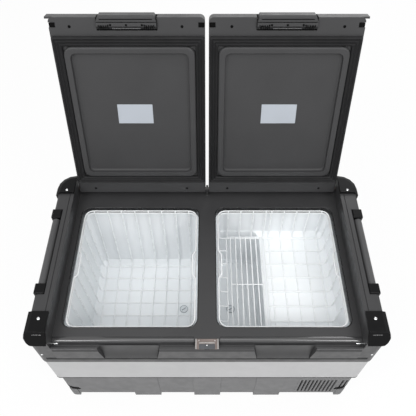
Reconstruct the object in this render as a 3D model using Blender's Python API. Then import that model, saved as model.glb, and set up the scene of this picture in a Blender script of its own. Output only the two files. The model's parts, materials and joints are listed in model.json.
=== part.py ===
"""Dual-zone compressor chest fridge with both lids open, as separate pieces. Metres, +Z up.

The origin is on the floor at the middle of the cabinet, the front looks along -Y.
"""
import math

import bmesh
import bpy
from mathutils import Matrix, Vector

for leftover in list(bpy.data.objects):
    bpy.data.objects.remove(leftover, do_unlink=True)

# Fits shared by all pieces
GAP = 0.0003
FAR = 1.0
ROUND_STEPS = 4
TUB_STEPS = 3

# Top frame, deck and rails
FRAME_WIDTH = 0.859
FRAME_DEPTH = 0.498
FRAME_CORNER = 0.045
FRONT_CORNER = 0.016
FRAME_WALL = 0.004
FRONT_WALL = 0.022
RAIL_RISE = 0.055
RAIL_WIDTH = 0.0475
RAIL_ROUND = 0.008
RAIL_NOSE_LENGTH = 0.020
RAIL_NOSE_DROP = 0.026
RAIL_GROOVE = 0.002
RAIL_GROOVE_INSET = 0.0105
DECK_HEIGHT = 0.417
DECK_THICKNESS = 0.005
DECK_SIDE = 0.016
DECK_FRONT = 0.054
DECK_REAR = 0.071
DIVIDER_WIDTH = 0.048
OPENING_CORNER = 0.025
TROUGH_LENGTH = 0.0155
TROUGH_DEPTH = 0.009
RIM_THICKNESS = 0.004
RIM_PROUD = 0.0045
RIM_DROP = 0.060
SCOOP_WIDTH = 0.152
SCOOP_DEPTH = 0.010
SCOOP_DROP = 0.061
REAR_SILL = 0.010

# Belt band and lower case
BAND_TOP = 0.322
BAND_BOTTOM = 0.180
BAND_INSET = 0.0026
BAND_WALL = 0.004
BAND_FLANGE = 0.009
BAND_ROUND = 0.004
CASE_INSET = 0.006
CASE_WALL = 0.0035
CASE_FLOOR = 0.004
CASE_BOTTOM = 0.017
CASE_ROUND = 0.006
SKID_WIDTH = 0.080
SKID_PITCH = 0.183
RIB_PROUD = 0.0012
FOOT_SIZE = 0.027
FOOT_HEIGHT = 0.053
FOOT_SLOT = 0.010
FOOT_PROUD = 0.0015
FOOT_BOSS = 0.006

# Corner guards and lock plate
GUARD_PROUD = 0.007
GUARD_SKIRT = 0.023
FRONT_GUARD_LENGTH = 0.070
REAR_GUARD_LENGTH = 0.062
LOCK_WIDTH = 0.058
LOCK_THICKNESS = 0.002
LOCK_MOUTH = 0.012

# Liners and evaporators
LINER_WALL = 0.0025
LINER_FLANGE = 0.008
LINER_REVEAL = 0.002
LINER_DRAFT = 0.010
LINER_FLOOR = 0.119
LINER_BEND = 0.014
STEP_FLOOR = 0.284
WELL_SHARE = 0.41
WELL_SHELF = 0.0015
EVAPORATOR_THICKNESS = 0.003
EVAPORATOR_SHARES = (0.20, 0.75)
DRAIN_RADIUS = 0.0125
DRAIN_STEM = 0.008

# Foam and machine bay
STEP_FOAM = 0.045
WELL_FOAM = 0.040
FOAM_TOP_INSET = 0.030

# Wire baskets
WIRE_RADIUS = 0.0024
BASKET_GAP = 0.006
BASKET_BEND = 0.016
RIM_BELOW_DECK = 0.0085
RIM_PITCH = 0.009
WIRE_SIDES = 4
WIRE_LAP = 0.0025
WIRE_MARGIN = 0.0145
GRIP_BUMP = 0.009
GRIP_LENGTH = 0.083
LEFT_WIRES = 8
CROSS_WIRES = 8
RIGHT_WIRES = 5
WELL_WIRES = 4
FRAME_INSET = 0.025
LADDER_WIDTH = 0.014
RACK_WIRES = 7
RACK_MARGIN = 0.007
RACK_EDGE = 0.012

# Lids
HINGE_SETBACK = 0.015
HINGE_HEIGHT = 0.022
BARREL_RADIUS = 0.0125
OPEN_ANGLE = math.radians(106.5)
LID_GAP = 0.009
LID_SIDE_GAP = 0.004
LID_OVERHANG = 0.013
LID_LIFT = 0.012
LID_THICKNESS = 0.040
LID_CORNER = 0.012
LID_ROUND = 0.012
LID_WALL = 0.004
LID_EAR = 0.008
LID_EAR_THICKNESS = 0.0045
LID_EAR_HEIGHT = 0.024
CROWN_INSET = 0.035
CROWN_RISE = 0.003
STRIP_FRONT = 0.0424
STRIP_REAR = 0.0441
STRIP_NOTCH = 0.012
STRIP_NOTCH_REACH = 0.016
PANEL_FLANGE = 0.004
PLUG_IN = 0.024
PLUG_OUT = 0.026
PLUG_FRONT = 0.067
PLUG_REAR = 0.0535
PLUG_HEIGHT = 0.0105
PLUG_RING = 0.016
PLUG_RECESS = 0.011
PLUG_CORNER = 0.022
GASKET_EDGE = 0.002
GASKET_RIDGES = 3
GASKET_RIDGE = 0.004
GASKET_CORNER = 0.004
PIN_RADIUS = 0.004
PIN_SEAT = 0.014
PIN_BORE = 0.022
POST_WIDTH = 0.006
POST_RADIUS = 0.0095

# Lid latches
LATCH_WIDTH = 0.143
LATCH_NOTCH = 0.031
LATCH_ROOF = 0.010
LATCH_PROUD = 0.006
LATCH_DROP = 0.009
LATCH_DEPTH = 0.033
LATCH_HEIGHT = 0.032
LATCH_AXIS_BACK = 0.015
LATCH_AXIS_UP = 0.016
LATCH_PIN_RADIUS = 0.0025
LATCH_PIN_SEAT = 0.008
LATCH_SLOTS = 4
LATCH_GROOVE = 0.0022
LATCH_GROOVE_BACK = 0.0155
LATCH_TAPER = 0.006
LATCH_HOLE = 0.0021
LATCH_HOLE_BACK = 0.0225
LATCH_HOLE_PITCH = 0.043

# Carry handles
POCKET_LENGTH = 0.202
POCKET_DEPTH = 0.025
POCKET_SILL = 0.036
BRACKET_LENGTH = 0.030
BRACKET_HEIGHT = 0.042
BRACKET_PROUD = 0.003
HANDLE_RADIUS = 0.0105
HANDLE_THICKNESS = 0.014
HANDLE_BAR = 0.020
HANDLE_LEG = 0.022
HANDLE_PLAY = 0.0012
HANDLE_STUB_RADIUS = 0.005
HANDLE_STUB = 0.011

# Vents, machine pieces, controls and inlets
VENT_WIDTH = 0.1195
VENT_LOW = 0.027
VENT_HEIGHT = 0.119
VENT_SLOTS = 10
VENT_SLOT_SHARE = 0.52
VENT_BORDER = 0.005
VENT_FLANGE = 0.004
CORNER_SLOTS = 2
SIDE_VENT_Y = -0.060
COMPRESSOR_RADIUS = 0.062
COMPRESSOR_HEIGHT = 0.112
COMPRESSOR_Y = 0.080
POT_SEAM_SHARE = 0.52
POT_PROFILE_LOW = ((0.80, 0.0), (0.97, 0.14), (0.97, POT_SEAM_SHARE))
POT_PROFILE_HIGH = ((0.95, POT_SEAM_SHARE), (0.90, 0.80), (0.62, 0.95), (0.25, 1.0))
TUBE_SHARE = 0.7
MOUNT_HEIGHT = 0.012
CONDENSER_WIDTH = 0.127
CONDENSER_DEPTH = 0.034
CONDENSER_HEIGHT = 0.118
CONDENSER_FINS = 10
FAN_SIZE = 0.116
FAN_DEPTH = 0.025
FAN_BLADES = 7
FAN_HUB = 0.018
FAN_TIP_GAP = 0.004
FAN_CHORD = 0.020
FAN_BLADE = 0.0016
FAN_PITCH = math.radians(38)
MODULE_SIZE = (0.090, 0.030, 0.070)
PANEL_WIDTH = 0.140
PANEL_HEIGHT = 0.072
PANEL_DEPTH = 0.020
PANEL_LIP = 0.005
PANEL_Y = 0.0
PANEL_Z = 0.251
WINDOW_WIDTH = 0.070
WINDOW_HEIGHT = 0.026
WINDOW_DEPTH = 0.003
BUTTON_WIDTH = 0.016
BUTTON_HEIGHT = 0.010
BUTTON_PITCH = 0.028
BUTTON_DEPTH = 0.006
BUTTON_PROUD = 0.0015
INLET_WIDTH = 0.034
INLET_HEIGHT = 0.030
INLET_DEPTH = 0.027
INLET_WALL = 0.004
INLET_Z = 0.075
INLET_SETBACK = 0.0584
INLET_PITCH = 0.052

# Places worked out from the driving sizes
half_width = FRAME_WIDTH / 2
front = -FRAME_DEPTH / 2
back = FRAME_DEPTH / 2
well_half = half_width - RAIL_WIDTH
opening_in = DIVIDER_WIDTH / 2
opening_out = well_half - DECK_SIDE
opening_front = front + DECK_FRONT
opening_back = back - DECK_REAR
deck_under = DECK_HEIGHT - DECK_THICKNESS
rail_top = DECK_HEIGHT + RAIL_RISE
hinge_y = back - HINGE_SETBACK
hinge_z = DECK_HEIGHT + HINGE_HEIGHT
lid_in = LID_GAP / 2
lid_out = well_half - LID_SIDE_GAP
lid_mid = (lid_in + lid_out) / 2
lid_front = front - LID_OVERHANG
lid_low = DECK_HEIGHT + LID_LIFT
lid_high = lid_low + LID_THICKNESS
case_inset = BAND_INSET + CASE_INSET
case_half = half_width - case_inset
case_front = front + case_inset
case_back = back - case_inset
case_fore = FRONT_CORNER - BAND_INSET
case_rear = FRAME_CORNER - case_inset
bay_ceiling = STEP_FLOOR - STEP_FOAM
bay_floor = CASE_BOTTOM + CASE_FLOOR
well_width = (opening_out - opening_in) * WELL_SHARE
well_edge = opening_in + well_width
bay_left = well_edge + WELL_FOAM
case_inside = case_half - CASE_WALL
corner_edge = case_half - FOOT_SIZE - CASE_WALL - GAP * 2
vent_left = corner_edge - VENT_FLANGE - VENT_WIDTH
vent_pitch = (VENT_WIDTH - VENT_BORDER * 2) / VENT_SLOTS
foot_ceiling = FOOT_HEIGHT + FOOT_SLOT
pocket_low = BAND_TOP + POCKET_SILL
pocket_floor = half_width - POCKET_DEPTH
handle_x = half_width - HANDLE_RADIUS
handle_z = rail_top - HANDLE_RADIUS - HANDLE_PLAY
rim_z = DECK_HEIGHT - RIM_BELOW_DECK
wire_half = WIRE_RADIUS * math.cos(math.pi / WIRE_SIDES)


def surface(name, colour, roughness, metallic=0.0):
    """A Principled material of one colour."""
    material = bpy.data.materials.new(name)
    material.use_nodes = True
    shader = material.node_tree.nodes["Principled BSDF"]
    shader.inputs["Base Color"].default_value = (*colour, 1.0)
    shader.inputs["Roughness"].default_value = roughness
    shader.inputs["Metallic"].default_value = metallic
    return material


DARK = surface("frame_plastic", (0.070, 0.070, 0.072), 0.55)
LID = surface("lid_plastic", (0.065, 0.065, 0.067), 0.50)
BAND = surface("band_plastic", (0.56, 0.56, 0.57), 0.45)
CASE = surface("case_plastic", (0.23, 0.23, 0.235), 0.55)
BLACK = surface("guard_plastic", (0.011, 0.011, 0.012), 0.45)
RUBBER = surface("seal_rubber", (0.014, 0.014, 0.014), 0.70)
WHITE = surface("liner_plastic", (0.80, 0.82, 0.84), 0.35)
WIRE = surface("coated_wire", (0.86, 0.87, 0.88), 0.35)
STEEL = surface("stainless_steel", (0.55, 0.54, 0.52), 0.30, 1.0)
FOAM = surface("pu_foam", (0.72, 0.62, 0.38), 0.90)
ALUMINIUM = surface("bare_aluminium", (0.60, 0.60, 0.62), 0.40, 1.0)
POT = surface("compressor_paint", (0.012, 0.012, 0.013), 0.40, 0.0)
GLASS = surface("display_plastic", (0.010, 0.012, 0.016), 0.12)


def spread(count, low, high):
    """Evenly spaced values from low to high."""
    return [low + (high - low) * i / (count - 1) for i in range(count)]


def rounded(u0, u1, v0, v1, radius, steps=ROUND_STEPS, fore=None):
    """A rounded rectangle as (u, v) points, anticlockwise; fore is the radius at the low v end."""
    most = min(u1 - u0, v1 - v0) / 2.01
    far = max(0.0001, min(radius, most))
    near = far if fore is None else max(0.0001, min(fore, most))
    corners = [
        (u1 - far, v1 - far, far, 0),
        (u0 + far, v1 - far, far, 90),
        (u0 + near, v0 + near, near, 180),
        (u1 - near, v0 + near, near, 270),
    ]
    points = []
    for cu, cv, radius, start in corners:
        for step in range(steps + 1):
            angle = math.radians(start + 90 * step / steps)
            points.append((cu + radius * math.cos(angle), cv + radius * math.sin(angle)))
    return points


def oblong(u0, u1, v0, v1):
    """A plain rectangle as (u, v) points, anticlockwise."""
    return [(u0, v0), (u1, v0), (u1, v1), (u0, v1)]


def circle(u, v, radius, sides):
    """A regular polygon as (u, v) points."""
    turns = [2 * math.pi * i / sides for i in range(sides)]
    return [(u + radius * math.cos(t), v + radius * math.sin(t)) for t in turns]


def along(axis, point, w):
    """A point of an outline, at w along the axis that the outline is square to."""
    u, v = point
    return {"X": (w, u, v), "Y": (u, w, v), "Z": (u, v, w)}[axis]


def loft(name, loops, material=None, ring=False):
    """A closed solid through loops of equal length, with flat ends, or a ring of loops."""
    shape = bmesh.new()
    rows = [[shape.verts.new(p) for p in loop] for loop in loops]
    pairs = list(zip(rows, rows[1:]))
    if ring:
        pairs.append((rows[-1], rows[0]))
    for low, high in pairs:
        for i in range(len(low)):
            j = (i + 1) % len(low)
            shape.faces.new((low[i], low[j], high[j], high[i]))
    if not ring:
        shape.faces.new(rows[0])
        shape.faces.new(rows[-1])
    bmesh.ops.recalc_face_normals(shape, faces=shape.faces)
    mesh = bpy.data.meshes.new(name)
    shape.to_mesh(mesh)
    shape.free()
    if material:
        mesh.materials.append(material)
    piece = bpy.data.objects.new(name, mesh)
    bpy.context.collection.objects.link(piece)
    return piece


def extrude(name, outline, low, high, axis="Z", material=None):
    """An outline pulled along an axis."""
    loops = [[along(axis, p, w) for p in outline] for w in (low, high)]
    return loft(name, loops, material)


def block(name, xs, ys, zs, material=None):
    """A box from three pairs of limits."""
    return extrude(name, oblong(*sorted(xs), *sorted(ys)), min(zs), max(zs), "Z", material)


def rod(name, axis, centre, radius, low, high, sides=12, material=None):
    """A round bar along an axis; centre is its place in the other two axes, in order."""
    return extrude(name, circle(*centre, radius, sides), min(low, high), max(low, high), axis, material)


def pillow(
    name,
    us,
    vs,
    ws,
    corner,
    top=0.0,
    bottom=0.0,
    axis="Z",
    material=None,
    steps=2,
    arc=ROUND_STEPS,
    fore=None,
):
    """A rounded box: round corners in plan, and round edges at its high and low ends."""
    (u0, u1), (v0, v1), (w0, w1) = sorted(us), sorted(vs), sorted(ws)

    def loop(inset, w):
        limits = (u0 + inset, u1 - inset, v0 + inset, v1 - inset)
        near = corner if fore is None else fore
        outline = rounded(*limits, corner - inset, arc, near - inset)
        return [along(axis, p, w) for p in outline]

    loops = []
    turns = [math.pi / 2 * i / steps for i in range(steps + 1)]
    for turn in reversed(turns if bottom else turns[:1]):
        loops.append(loop(bottom * (1 - math.cos(turn)), w0 + bottom * (1 - math.sin(turn))))
    for turn in turns if top else turns[:1]:
        loops.append(loop(top * (1 - math.cos(turn)), w1 - top * (1 - math.sin(turn))))
    return loft(name, loops, material)


def settle(piece):
    """Replace a piece's mesh by its mesh with the modifiers applied."""
    bpy.context.view_layer.update()
    graph = bpy.context.evaluated_depsgraph_get()
    finished = bpy.data.meshes.new_from_object(piece.evaluated_get(graph))
    rough = piece.data
    name = rough.name
    piece.modifiers.clear()
    piece.data = finished
    bpy.data.meshes.remove(rough)
    finished.name = name
    return piece


def combine(piece, others, operation):
    """Boolean a piece with other solids, which are used up."""
    for other in others:
        modifier = piece.modifiers.new(operation.title(), "BOOLEAN")
        modifier.operation = operation
        modifier.solver = "EXACT"
        modifier.object = other
        settle(piece)
        bpy.data.objects.remove(other, do_unlink=True)
    return piece


def carve(piece, *cutters):
    return combine(piece, cutters, "DIFFERENCE")


def weld(piece, *others):
    return combine(piece, others, "UNION")


def clip(piece, other):
    return combine(piece, [other], "INTERSECT")


def gather(name, pieces):
    """Several separate solids as one cutter."""
    shape = bmesh.new()
    for piece in pieces:
        shape.from_mesh(piece.data)
        bpy.data.objects.remove(piece, do_unlink=True)
    mesh = bpy.data.meshes.new(name)
    shape.to_mesh(mesh)
    shape.free()
    cutter = bpy.data.objects.new(name, mesh)
    bpy.context.collection.objects.link(cutter)
    return cutter


def soften(piece, width, segments=2, angle=40):
    """Round a piece's sharp edges."""
    modifier = piece.modifiers.new("Bevel", "BEVEL")
    modifier.width = width
    modifier.segments = segments
    modifier.limit_method = "ANGLE"
    modifier.angle_limit = math.radians(angle)
    return settle(piece)


def frame_envelope(name, grow, low, material=None):
    """The outside of the top frame, grown evenly, with the sloped noses of its rails."""
    piece = pillow(
        name,
        (-half_width - grow, half_width + grow),
        (front - grow, back + grow),
        (low, rail_top + grow),
        FRAME_CORNER + grow,
        top=RAIL_ROUND + grow,
        material=material,
        fore=FRONT_CORNER + grow,
    )
    slope = math.hypot(RAIL_NOSE_LENGTH, RAIL_NOSE_DROP)
    out_y = -grow * RAIL_NOSE_DROP / slope
    out_z = grow * RAIL_NOSE_LENGTH / slope
    run_y, run_z = RAIL_NOSE_LENGTH * 3, RAIL_NOSE_DROP * 3
    crease = (front + RAIL_NOSE_LENGTH + out_y, rail_top + out_z)
    nose = [
        (crease[0] - run_y, crease[1] - run_z),
        (crease[0] + run_y, crease[1] + run_z),
        (crease[0] - run_y, crease[1] + run_z),
    ]
    return carve(piece, extrude("nose", nose, -FAR, FAR, "X"))


def pocket_cutter(name, side, grow):
    """The space in a side rail for a handle and its two brackets, grown evenly."""
    xs = (side * (pocket_floor - grow), side * FAR)
    half = POCKET_LENGTH / 2 + grow
    ends = half + BRACKET_LENGTH
    shelf = rail_top - BRACKET_HEIGHT - grow
    handle = block(name, xs, (-half, half), (pocket_low - grow, FAR))
    return weld(handle, block("ends", xs, (-ends, ends), (shelf, FAR)))


def make_top_frame():
    frame = frame_envelope("top_frame", 0, BAND_TOP, DARK)
    carve(frame, block("lid_well", (-well_half, well_half), (-FAR, FAR), (DECK_HEIGHT, FAR)))

    lip = front + RIM_THICKNESS + TROUGH_LENGTH
    trough = [
        (front + RIM_THICKNESS, DECK_HEIGHT - TROUGH_DEPTH),
        (front + RIM_THICKNESS + TROUGH_LENGTH / 2, DECK_HEIGHT - TROUGH_DEPTH),
        (lip, DECK_HEIGHT + GAP),
        (front + RIM_THICKNESS, DECK_HEIGHT + GAP),
    ]
    carve(frame, extrude("trough", trough, -well_half, well_half, "X"))

    rim_low = DECK_HEIGHT - RIM_DROP
    rim = [
        (front + RIM_THICKNESS / 2, rim_low - RIM_PROUD),
        (front + RIM_THICKNESS / 2, DECK_HEIGHT - GAP),
        (front - RIM_PROUD / 2, DECK_HEIGHT - RIM_PROUD / 2),
        (front - RIM_PROUD, DECK_HEIGHT - RIM_PROUD * 2),
        (front - RIM_PROUD, rim_low + RIM_PROUD),
        (front - RIM_PROUD / 2, rim_low),
    ]
    rim_half = well_half - RIM_THICKNESS
    weld(frame, extrude("rim", rim, -rim_half, rim_half, "X"))

    for side in (-1, 1):
        middle = side * lid_mid
        flare = SCOOP_DEPTH
        scoop = [
            (middle - SCOOP_WIDTH / 2, DECK_HEIGHT + GAP),
            (middle - SCOOP_WIDTH / 2 + flare, DECK_HEIGHT - SCOOP_DROP),
            (middle + SCOOP_WIDTH / 2 - flare, DECK_HEIGHT - SCOOP_DROP),
            (middle + SCOOP_WIDTH / 2, DECK_HEIGHT + GAP),
        ]
        carve(frame, extrude("scoop", scoop, front - SCOOP_DEPTH, front + SCOOP_DEPTH, "Y"))
        hole = rounded(opening_in, opening_out, opening_front, opening_back, OPENING_CORNER)
        hole = [(side * x, y) for x, y in hole]
        carve(frame, extrude("opening", hole, BAND_TOP, DECK_HEIGHT + GAP))

    cavity = extrude(
        "cavity",
        rounded(
            -half_width + FRAME_WALL,
            half_width - FRAME_WALL,
            front + FRONT_WALL,
            back - FRAME_WALL,
            FRAME_CORNER - FRAME_WALL,
        ),
        BAND_TOP - FRAME_WALL,
        deck_under,
    )
    for side in (-1, 1):
        carve(cavity, pocket_cutter("pocket_wall", side, FRAME_WALL))
    carve(frame, cavity)
    for side in (-1, 1):
        carve(frame, pocket_cutter("pocket", side, 0))
        groove_x = side * (well_half + RAIL_GROOVE_INSET)
        groove = block(
            "groove",
            (groove_x - RAIL_GROOVE / 2, groove_x + RAIL_GROOVE / 2),
            (front + FRONT_GUARD_LENGTH, back - REAR_GUARD_LENGTH),
            (rail_top - RAIL_GROOVE, FAR),
        )
        seat = (side * (well_half - GAP), side * (well_half + PIN_SEAT))
        hole = rod("pin_seat", "X", (hinge_y, hinge_z), PIN_RADIUS + GAP, *seat)
        carve(frame, groove, hole)

    sill = (back - REAR_SILL, back - GAP)
    sill_top = lid_low - RIM_THICKNESS / 2
    weld(frame, block("sill", (-well_half - GAP, well_half + GAP), sill, (deck_under + GAP, sill_top)))
    post = [(hinge_y - POST_RADIUS, deck_under + GAP), (hinge_y + POST_RADIUS, deck_under + GAP)]
    post += circle(hinge_y, hinge_z, POST_RADIUS, 16)[:9]
    weld(frame, extrude("post", post, -POST_WIDTH / 2, POST_WIDTH / 2, "X"))
    bore = rod("post_bore", "X", (hinge_y, hinge_z), PIN_RADIUS + GAP, -POST_WIDTH, POST_WIDTH)
    return carve(frame, bore)


def make_guards():
    ends = {"front": (front + FRONT_GUARD_LENGTH, -FAR), "rear": (back - REAR_GUARD_LENGTH, FAR)}
    for end, ys in ends.items():
        for side, hand in ((-1, "left"), (1, "right")):
            low = rail_top - GUARD_SKIRT
            guard = frame_envelope(f"{end}_{hand}_guard", GUARD_PROUD, low, BLACK)
            carve(guard, frame_envelope("core", GAP, low - GUARD_SKIRT))
            clip(guard, block("zone", (side * well_half, side * FAR), ys, (0, FAR)))


def case_plan(inset, fore):
    """The lower case's rounded outline, drawn in by an inset; fore is its front corners' radius."""
    return rounded(
        -case_half + inset,
        case_half - inset,
        case_front + inset,
        case_back - inset,
        case_rear - inset,
        fore=fore - inset,
    )


def corner_blocks(reach, low, high):
    """Four boxes over the case's lower corners."""
    pieces = []
    for sx in (-1, 1):
        for sy in (-1, 1):
            xs = (sx * (case_half - reach), sx * FAR)
            ys = (sy * (case_back - reach), sy * FAR)
            pieces.append(block("corner", xs, ys, (low, high)))
    return gather("corners", pieces)


def vent_window(grow):
    """Front vent's limits across and up, grown evenly."""
    xs = (vent_left - grow, vent_left + VENT_WIDTH + grow)
    zs = (VENT_LOW - grow, VENT_LOW + VENT_HEIGHT + grow)
    return xs, zs


def side_window(grow):
    """Side vent's limits along the end and up, grown evenly."""
    ys = (SIDE_VENT_Y - VENT_WIDTH / 2 - grow, SIDE_VENT_Y + VENT_WIDTH / 2 + grow)
    return ys, vent_window(grow)[1]


def inlet_window(index, grow):
    """An inlet's limits along the end and up, grown evenly."""
    middle = case_back - INLET_SETBACK - (1 - index) * INLET_PITCH
    ys = (middle - INLET_WIDTH / 2 - grow, middle + INLET_WIDTH / 2 + grow)
    zs = (INLET_Z - INLET_HEIGHT / 2 - grow, INLET_Z + INLET_HEIGHT / 2 + grow)
    return ys, zs


def make_lower_case():
    case = pillow(
        "lower_case",
        (-case_half, case_half),
        (case_front, case_back),
        (CASE_BOTTOM, BAND_BOTTOM - GAP),
        case_rear,
        bottom=CASE_ROUND,
        material=CASE,
        fore=case_fore,
    )
    inside = extrude("inside", case_plan(CASE_WALL, case_fore), bay_floor, BAND_BOTTOM + FAR)
    carve(inside, corner_blocks(FOOT_SIZE + CASE_WALL, 0, foot_ceiling + CASE_WALL))
    carve(case, inside, corner_blocks(FOOT_SIZE, 0, foot_ceiling))
    for i in (-1, 0, 1):
        xs = (i * SKID_PITCH - SKID_WIDTH / 2, i * SKID_PITCH + SKID_WIDTH / 2)
        ys = (case_front - RIB_PROUD, case_back + RIB_PROUD)
        rise = CASE_BOTTOM + CASE_FLOOR / 2
        weld(case, block("skid", xs, ys, (0, rise)))
        for outside, skin in zip(ys, (case_front + CASE_WALL / 2, case_back - CASE_WALL / 2)):
            weld(case, block("rib", xs, (outside, skin), (rise - GAP, BAND_BOTTOM - GAP)))
    xs, zs = vent_window(0)
    wall = (case_front - GAP, case_front + CASE_WALL + GAP)
    carve(case, block("vent", xs, wall, zs))
    slots = []
    for i in range(CORNER_SLOTS):
        x = xs[1] + VENT_BORDER + vent_pitch * (i + 0.5)
        half = vent_pitch * VENT_SLOT_SHARE / 2
        up = (foot_ceiling + CASE_WALL * 2, zs[1] - VENT_BORDER)
        slots.append(block("slot", (x - half, x + half), wall, up))
    carve(case, gather("slots", slots))
    through = (case_inside - GAP, FAR)
    carve(case, block("side_vent", through, *side_window(0)))
    for index in (0, 1):
        carve(case, block("inlet_hole", through, *inlet_window(index, 0)))
    return case


def make_feet():
    for sy, end in ((-1, "front"), (1, "rear")):
        for sx, hand in ((-1, "left"), (1, "right")):
            foot = pillow(
                f"{end}_{hand}_foot",
                (-case_half - FOOT_PROUD, case_half + FOOT_PROUD),
                (case_front - FOOT_PROUD, case_back + FOOT_PROUD),
                (0, FOOT_HEIGHT),
                case_rear + FOOT_PROUD,
                top=CASE_ROUND / 2,
                bottom=CASE_ROUND / 2,
                material=CASE,
                fore=case_fore + FOOT_PROUD,
            )
            reach = FOOT_SIZE - GAP
            xs = (sx * (case_half - reach), sx * FAR)
            ys = (sy * (case_back - reach), sy * FAR)
            clip(foot, block("zone", xs, ys, (-FAR, FAR)))
            tuck = FOOT_SIZE - FOOT_BOSS - GAP * 3
            place = (sx * (case_half - tuck), sy * (case_back - tuck))
            high = foot_ceiling - GAP
            weld(foot, rod("boss", "Z", place, FOOT_BOSS, FOOT_HEIGHT / 2, high))


def panel_window(grow):
    """Control panel's limits along the end and up, grown evenly."""
    ys = (PANEL_Y - PANEL_WIDTH / 2 - grow, PANEL_Y + PANEL_WIDTH / 2 + grow)
    zs = (PANEL_Z - PANEL_HEIGHT / 2 - grow, PANEL_Z + PANEL_HEIGHT / 2 + grow)
    return ys, zs


def make_belt_band():
    band = pillow(
        "belt_band",
        (-half_width + BAND_INSET, half_width - BAND_INSET),
        (front + BAND_INSET, back - BAND_INSET),
        (BAND_BOTTOM, BAND_TOP - GAP),
        FRAME_CORNER - BAND_INSET,
        bottom=BAND_ROUND,
        material=BAND,
        fore=FRONT_CORNER - BAND_INSET,
    )

    def plan(inset):
        return rounded(
            -half_width + inset,
            half_width - inset,
            front + inset,
            back - inset,
            FRAME_CORNER - inset,
        )

    wall = extrude("inside", plan(BAND_INSET + BAND_WALL), BAND_BOTTOM + BAND_WALL, FAR)
    flange = extrude("flange", plan(BAND_INSET + BAND_FLANGE), 0, FAR)
    window = block("window", (half_width - BAND_INSET - BAND_WALL - GAP, FAR), *panel_window(0))
    return carve(band, wall, flange, window)


def tub_plan(side, z, grow, width=None):
    """A liner's inner outline at a height, grown evenly; width narrows it to the well."""
    share = (deck_under - z) / (deck_under - LINER_FLOOR)
    inset = LINER_DRAFT * share - LINER_REVEAL - grow
    x_high = opening_out - inset if width is None else opening_in + width + grow
    outline = rounded(
        opening_in + inset,
        x_high,
        opening_front + inset,
        opening_back - inset,
        OPENING_CORNER + grow,
        TUB_STEPS,
    )
    return [(side * x, y, z) for x, y in outline]


def tub_loops(side, floor, grow, width=None):
    """A tub's loops from a bent floor edge up to the deck's underside."""
    bend = LINER_BEND if width is None else LINER_BEND / 2
    low = tub_plan(side, floor + LINER_BEND, grow, width)
    return [tub_plan(side, floor, grow - bend, width), low]


def flat_tub(name, side, material):
    """A plain tub with a flange under the deck."""
    top = deck_under - GAP
    under = top - LINER_WALL
    flange = LINER_WALL + LINER_FLANGE
    loops = tub_loops(side, LINER_FLOOR - LINER_WALL, LINER_WALL)
    loops += [tub_plan(side, under, LINER_WALL), tub_plan(side, under, flange)]
    loops += [tub_plan(side, top, flange), tub_plan(side, top, 0)]
    loops += reversed(tub_loops(side, LINER_FLOOR, 0))
    return loft(name, loops, material)


def stepped_tub(name, side, material):
    """A tub whose floor steps up over the machine bay and drops into a well."""
    top = deck_under - GAP
    under = top - LINER_WALL
    flange = LINER_WALL + LINER_FLANGE
    outer = tub_loops(side, STEP_FLOOR - LINER_WALL, LINER_WALL)
    outer += [tub_plan(side, under, LINER_WALL), tub_plan(side, under, flange)]
    outer += [tub_plan(side, top, flange)]
    tub = loft(name, outer, material)
    meet = STEP_FLOOR + LINER_BEND

    def well(part, floor, grow, high):
        loops = tub_loops(side, floor, grow - WELL_SHELF, well_width)
        return loft(part, loops + [tub_plan(side, high, grow - WELL_SHELF, well_width)])

    weld(tub, well("well_outer", LINER_FLOOR - LINER_WALL, LINER_WALL, meet))
    hollow = tub_loops(side, STEP_FLOOR, 0) + [tub_plan(side, top + GAP, 0)]
    return carve(tub, loft("hollow", hollow), well("well_inner", LINER_FLOOR, 0, meet))


def drain_hole(side, radius, low, high):
    """A round bar over the drain, which is in the middle of one of the basket's meshes."""
    x_in, x_out, y_front, y_back = basket_limits(LINER_FLOOR)
    xs = spread(LEFT_WIRES, x_in + WIRE_MARGIN, x_out - WIRE_MARGIN)
    ys = spread(CROSS_WIRES, y_front + WIRE_MARGIN, y_back - WIRE_MARGIN)
    middle = CROSS_WIRES // 2
    place = (side * (xs[0] + xs[1]) / 2, (ys[middle - 1] + ys[middle]) / 2)
    return rod("drain", "Z", place, radius, low, high, 12)


def make_liners():
    for side, maker, name in ((-1, flat_tub, "left_liner"), (1, stepped_tub, "right_liner")):
        liner = maker(name, side, WHITE)
        low = LINER_FLOOR - LINER_WALL - GAP
        carve(liner, drain_hole(side, DRAIN_STEM + GAP, low, LINER_FLOOR + GAP))
        hand = name.split("_")[0]
        head = LINER_FLOOR + GAP
        plug = drain_hole(side, DRAIN_RADIUS, head, head + LINER_WALL)
        plug.name = f"{hand}_drain_plug"
        plug.data.materials.append(WHITE)
        weld(plug, drain_hole(side, DRAIN_STEM, LINER_FLOOR - LINER_WALL * 2, head + GAP))


def make_evaporators():
    """A thin jacket round each liner, below its flange."""
    inner = LINER_WALL + GAP
    outer = inner + EVAPORATOR_THICKNESS
    for side, hand, floor in ((-1, "left", LINER_FLOOR), (1, "right", STEP_FLOOR)):
        low, high = (floor + (deck_under - floor) * share for share in EVAPORATOR_SHARES)
        loops = [
            tub_plan(side, low, outer),
            tub_plan(side, high, outer),
            tub_plan(side, high, inner),
            tub_plan(side, low, inner),
        ]
        loft(f"{hand}_evaporator", loops, ALUMINIUM, ring=True)


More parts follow.
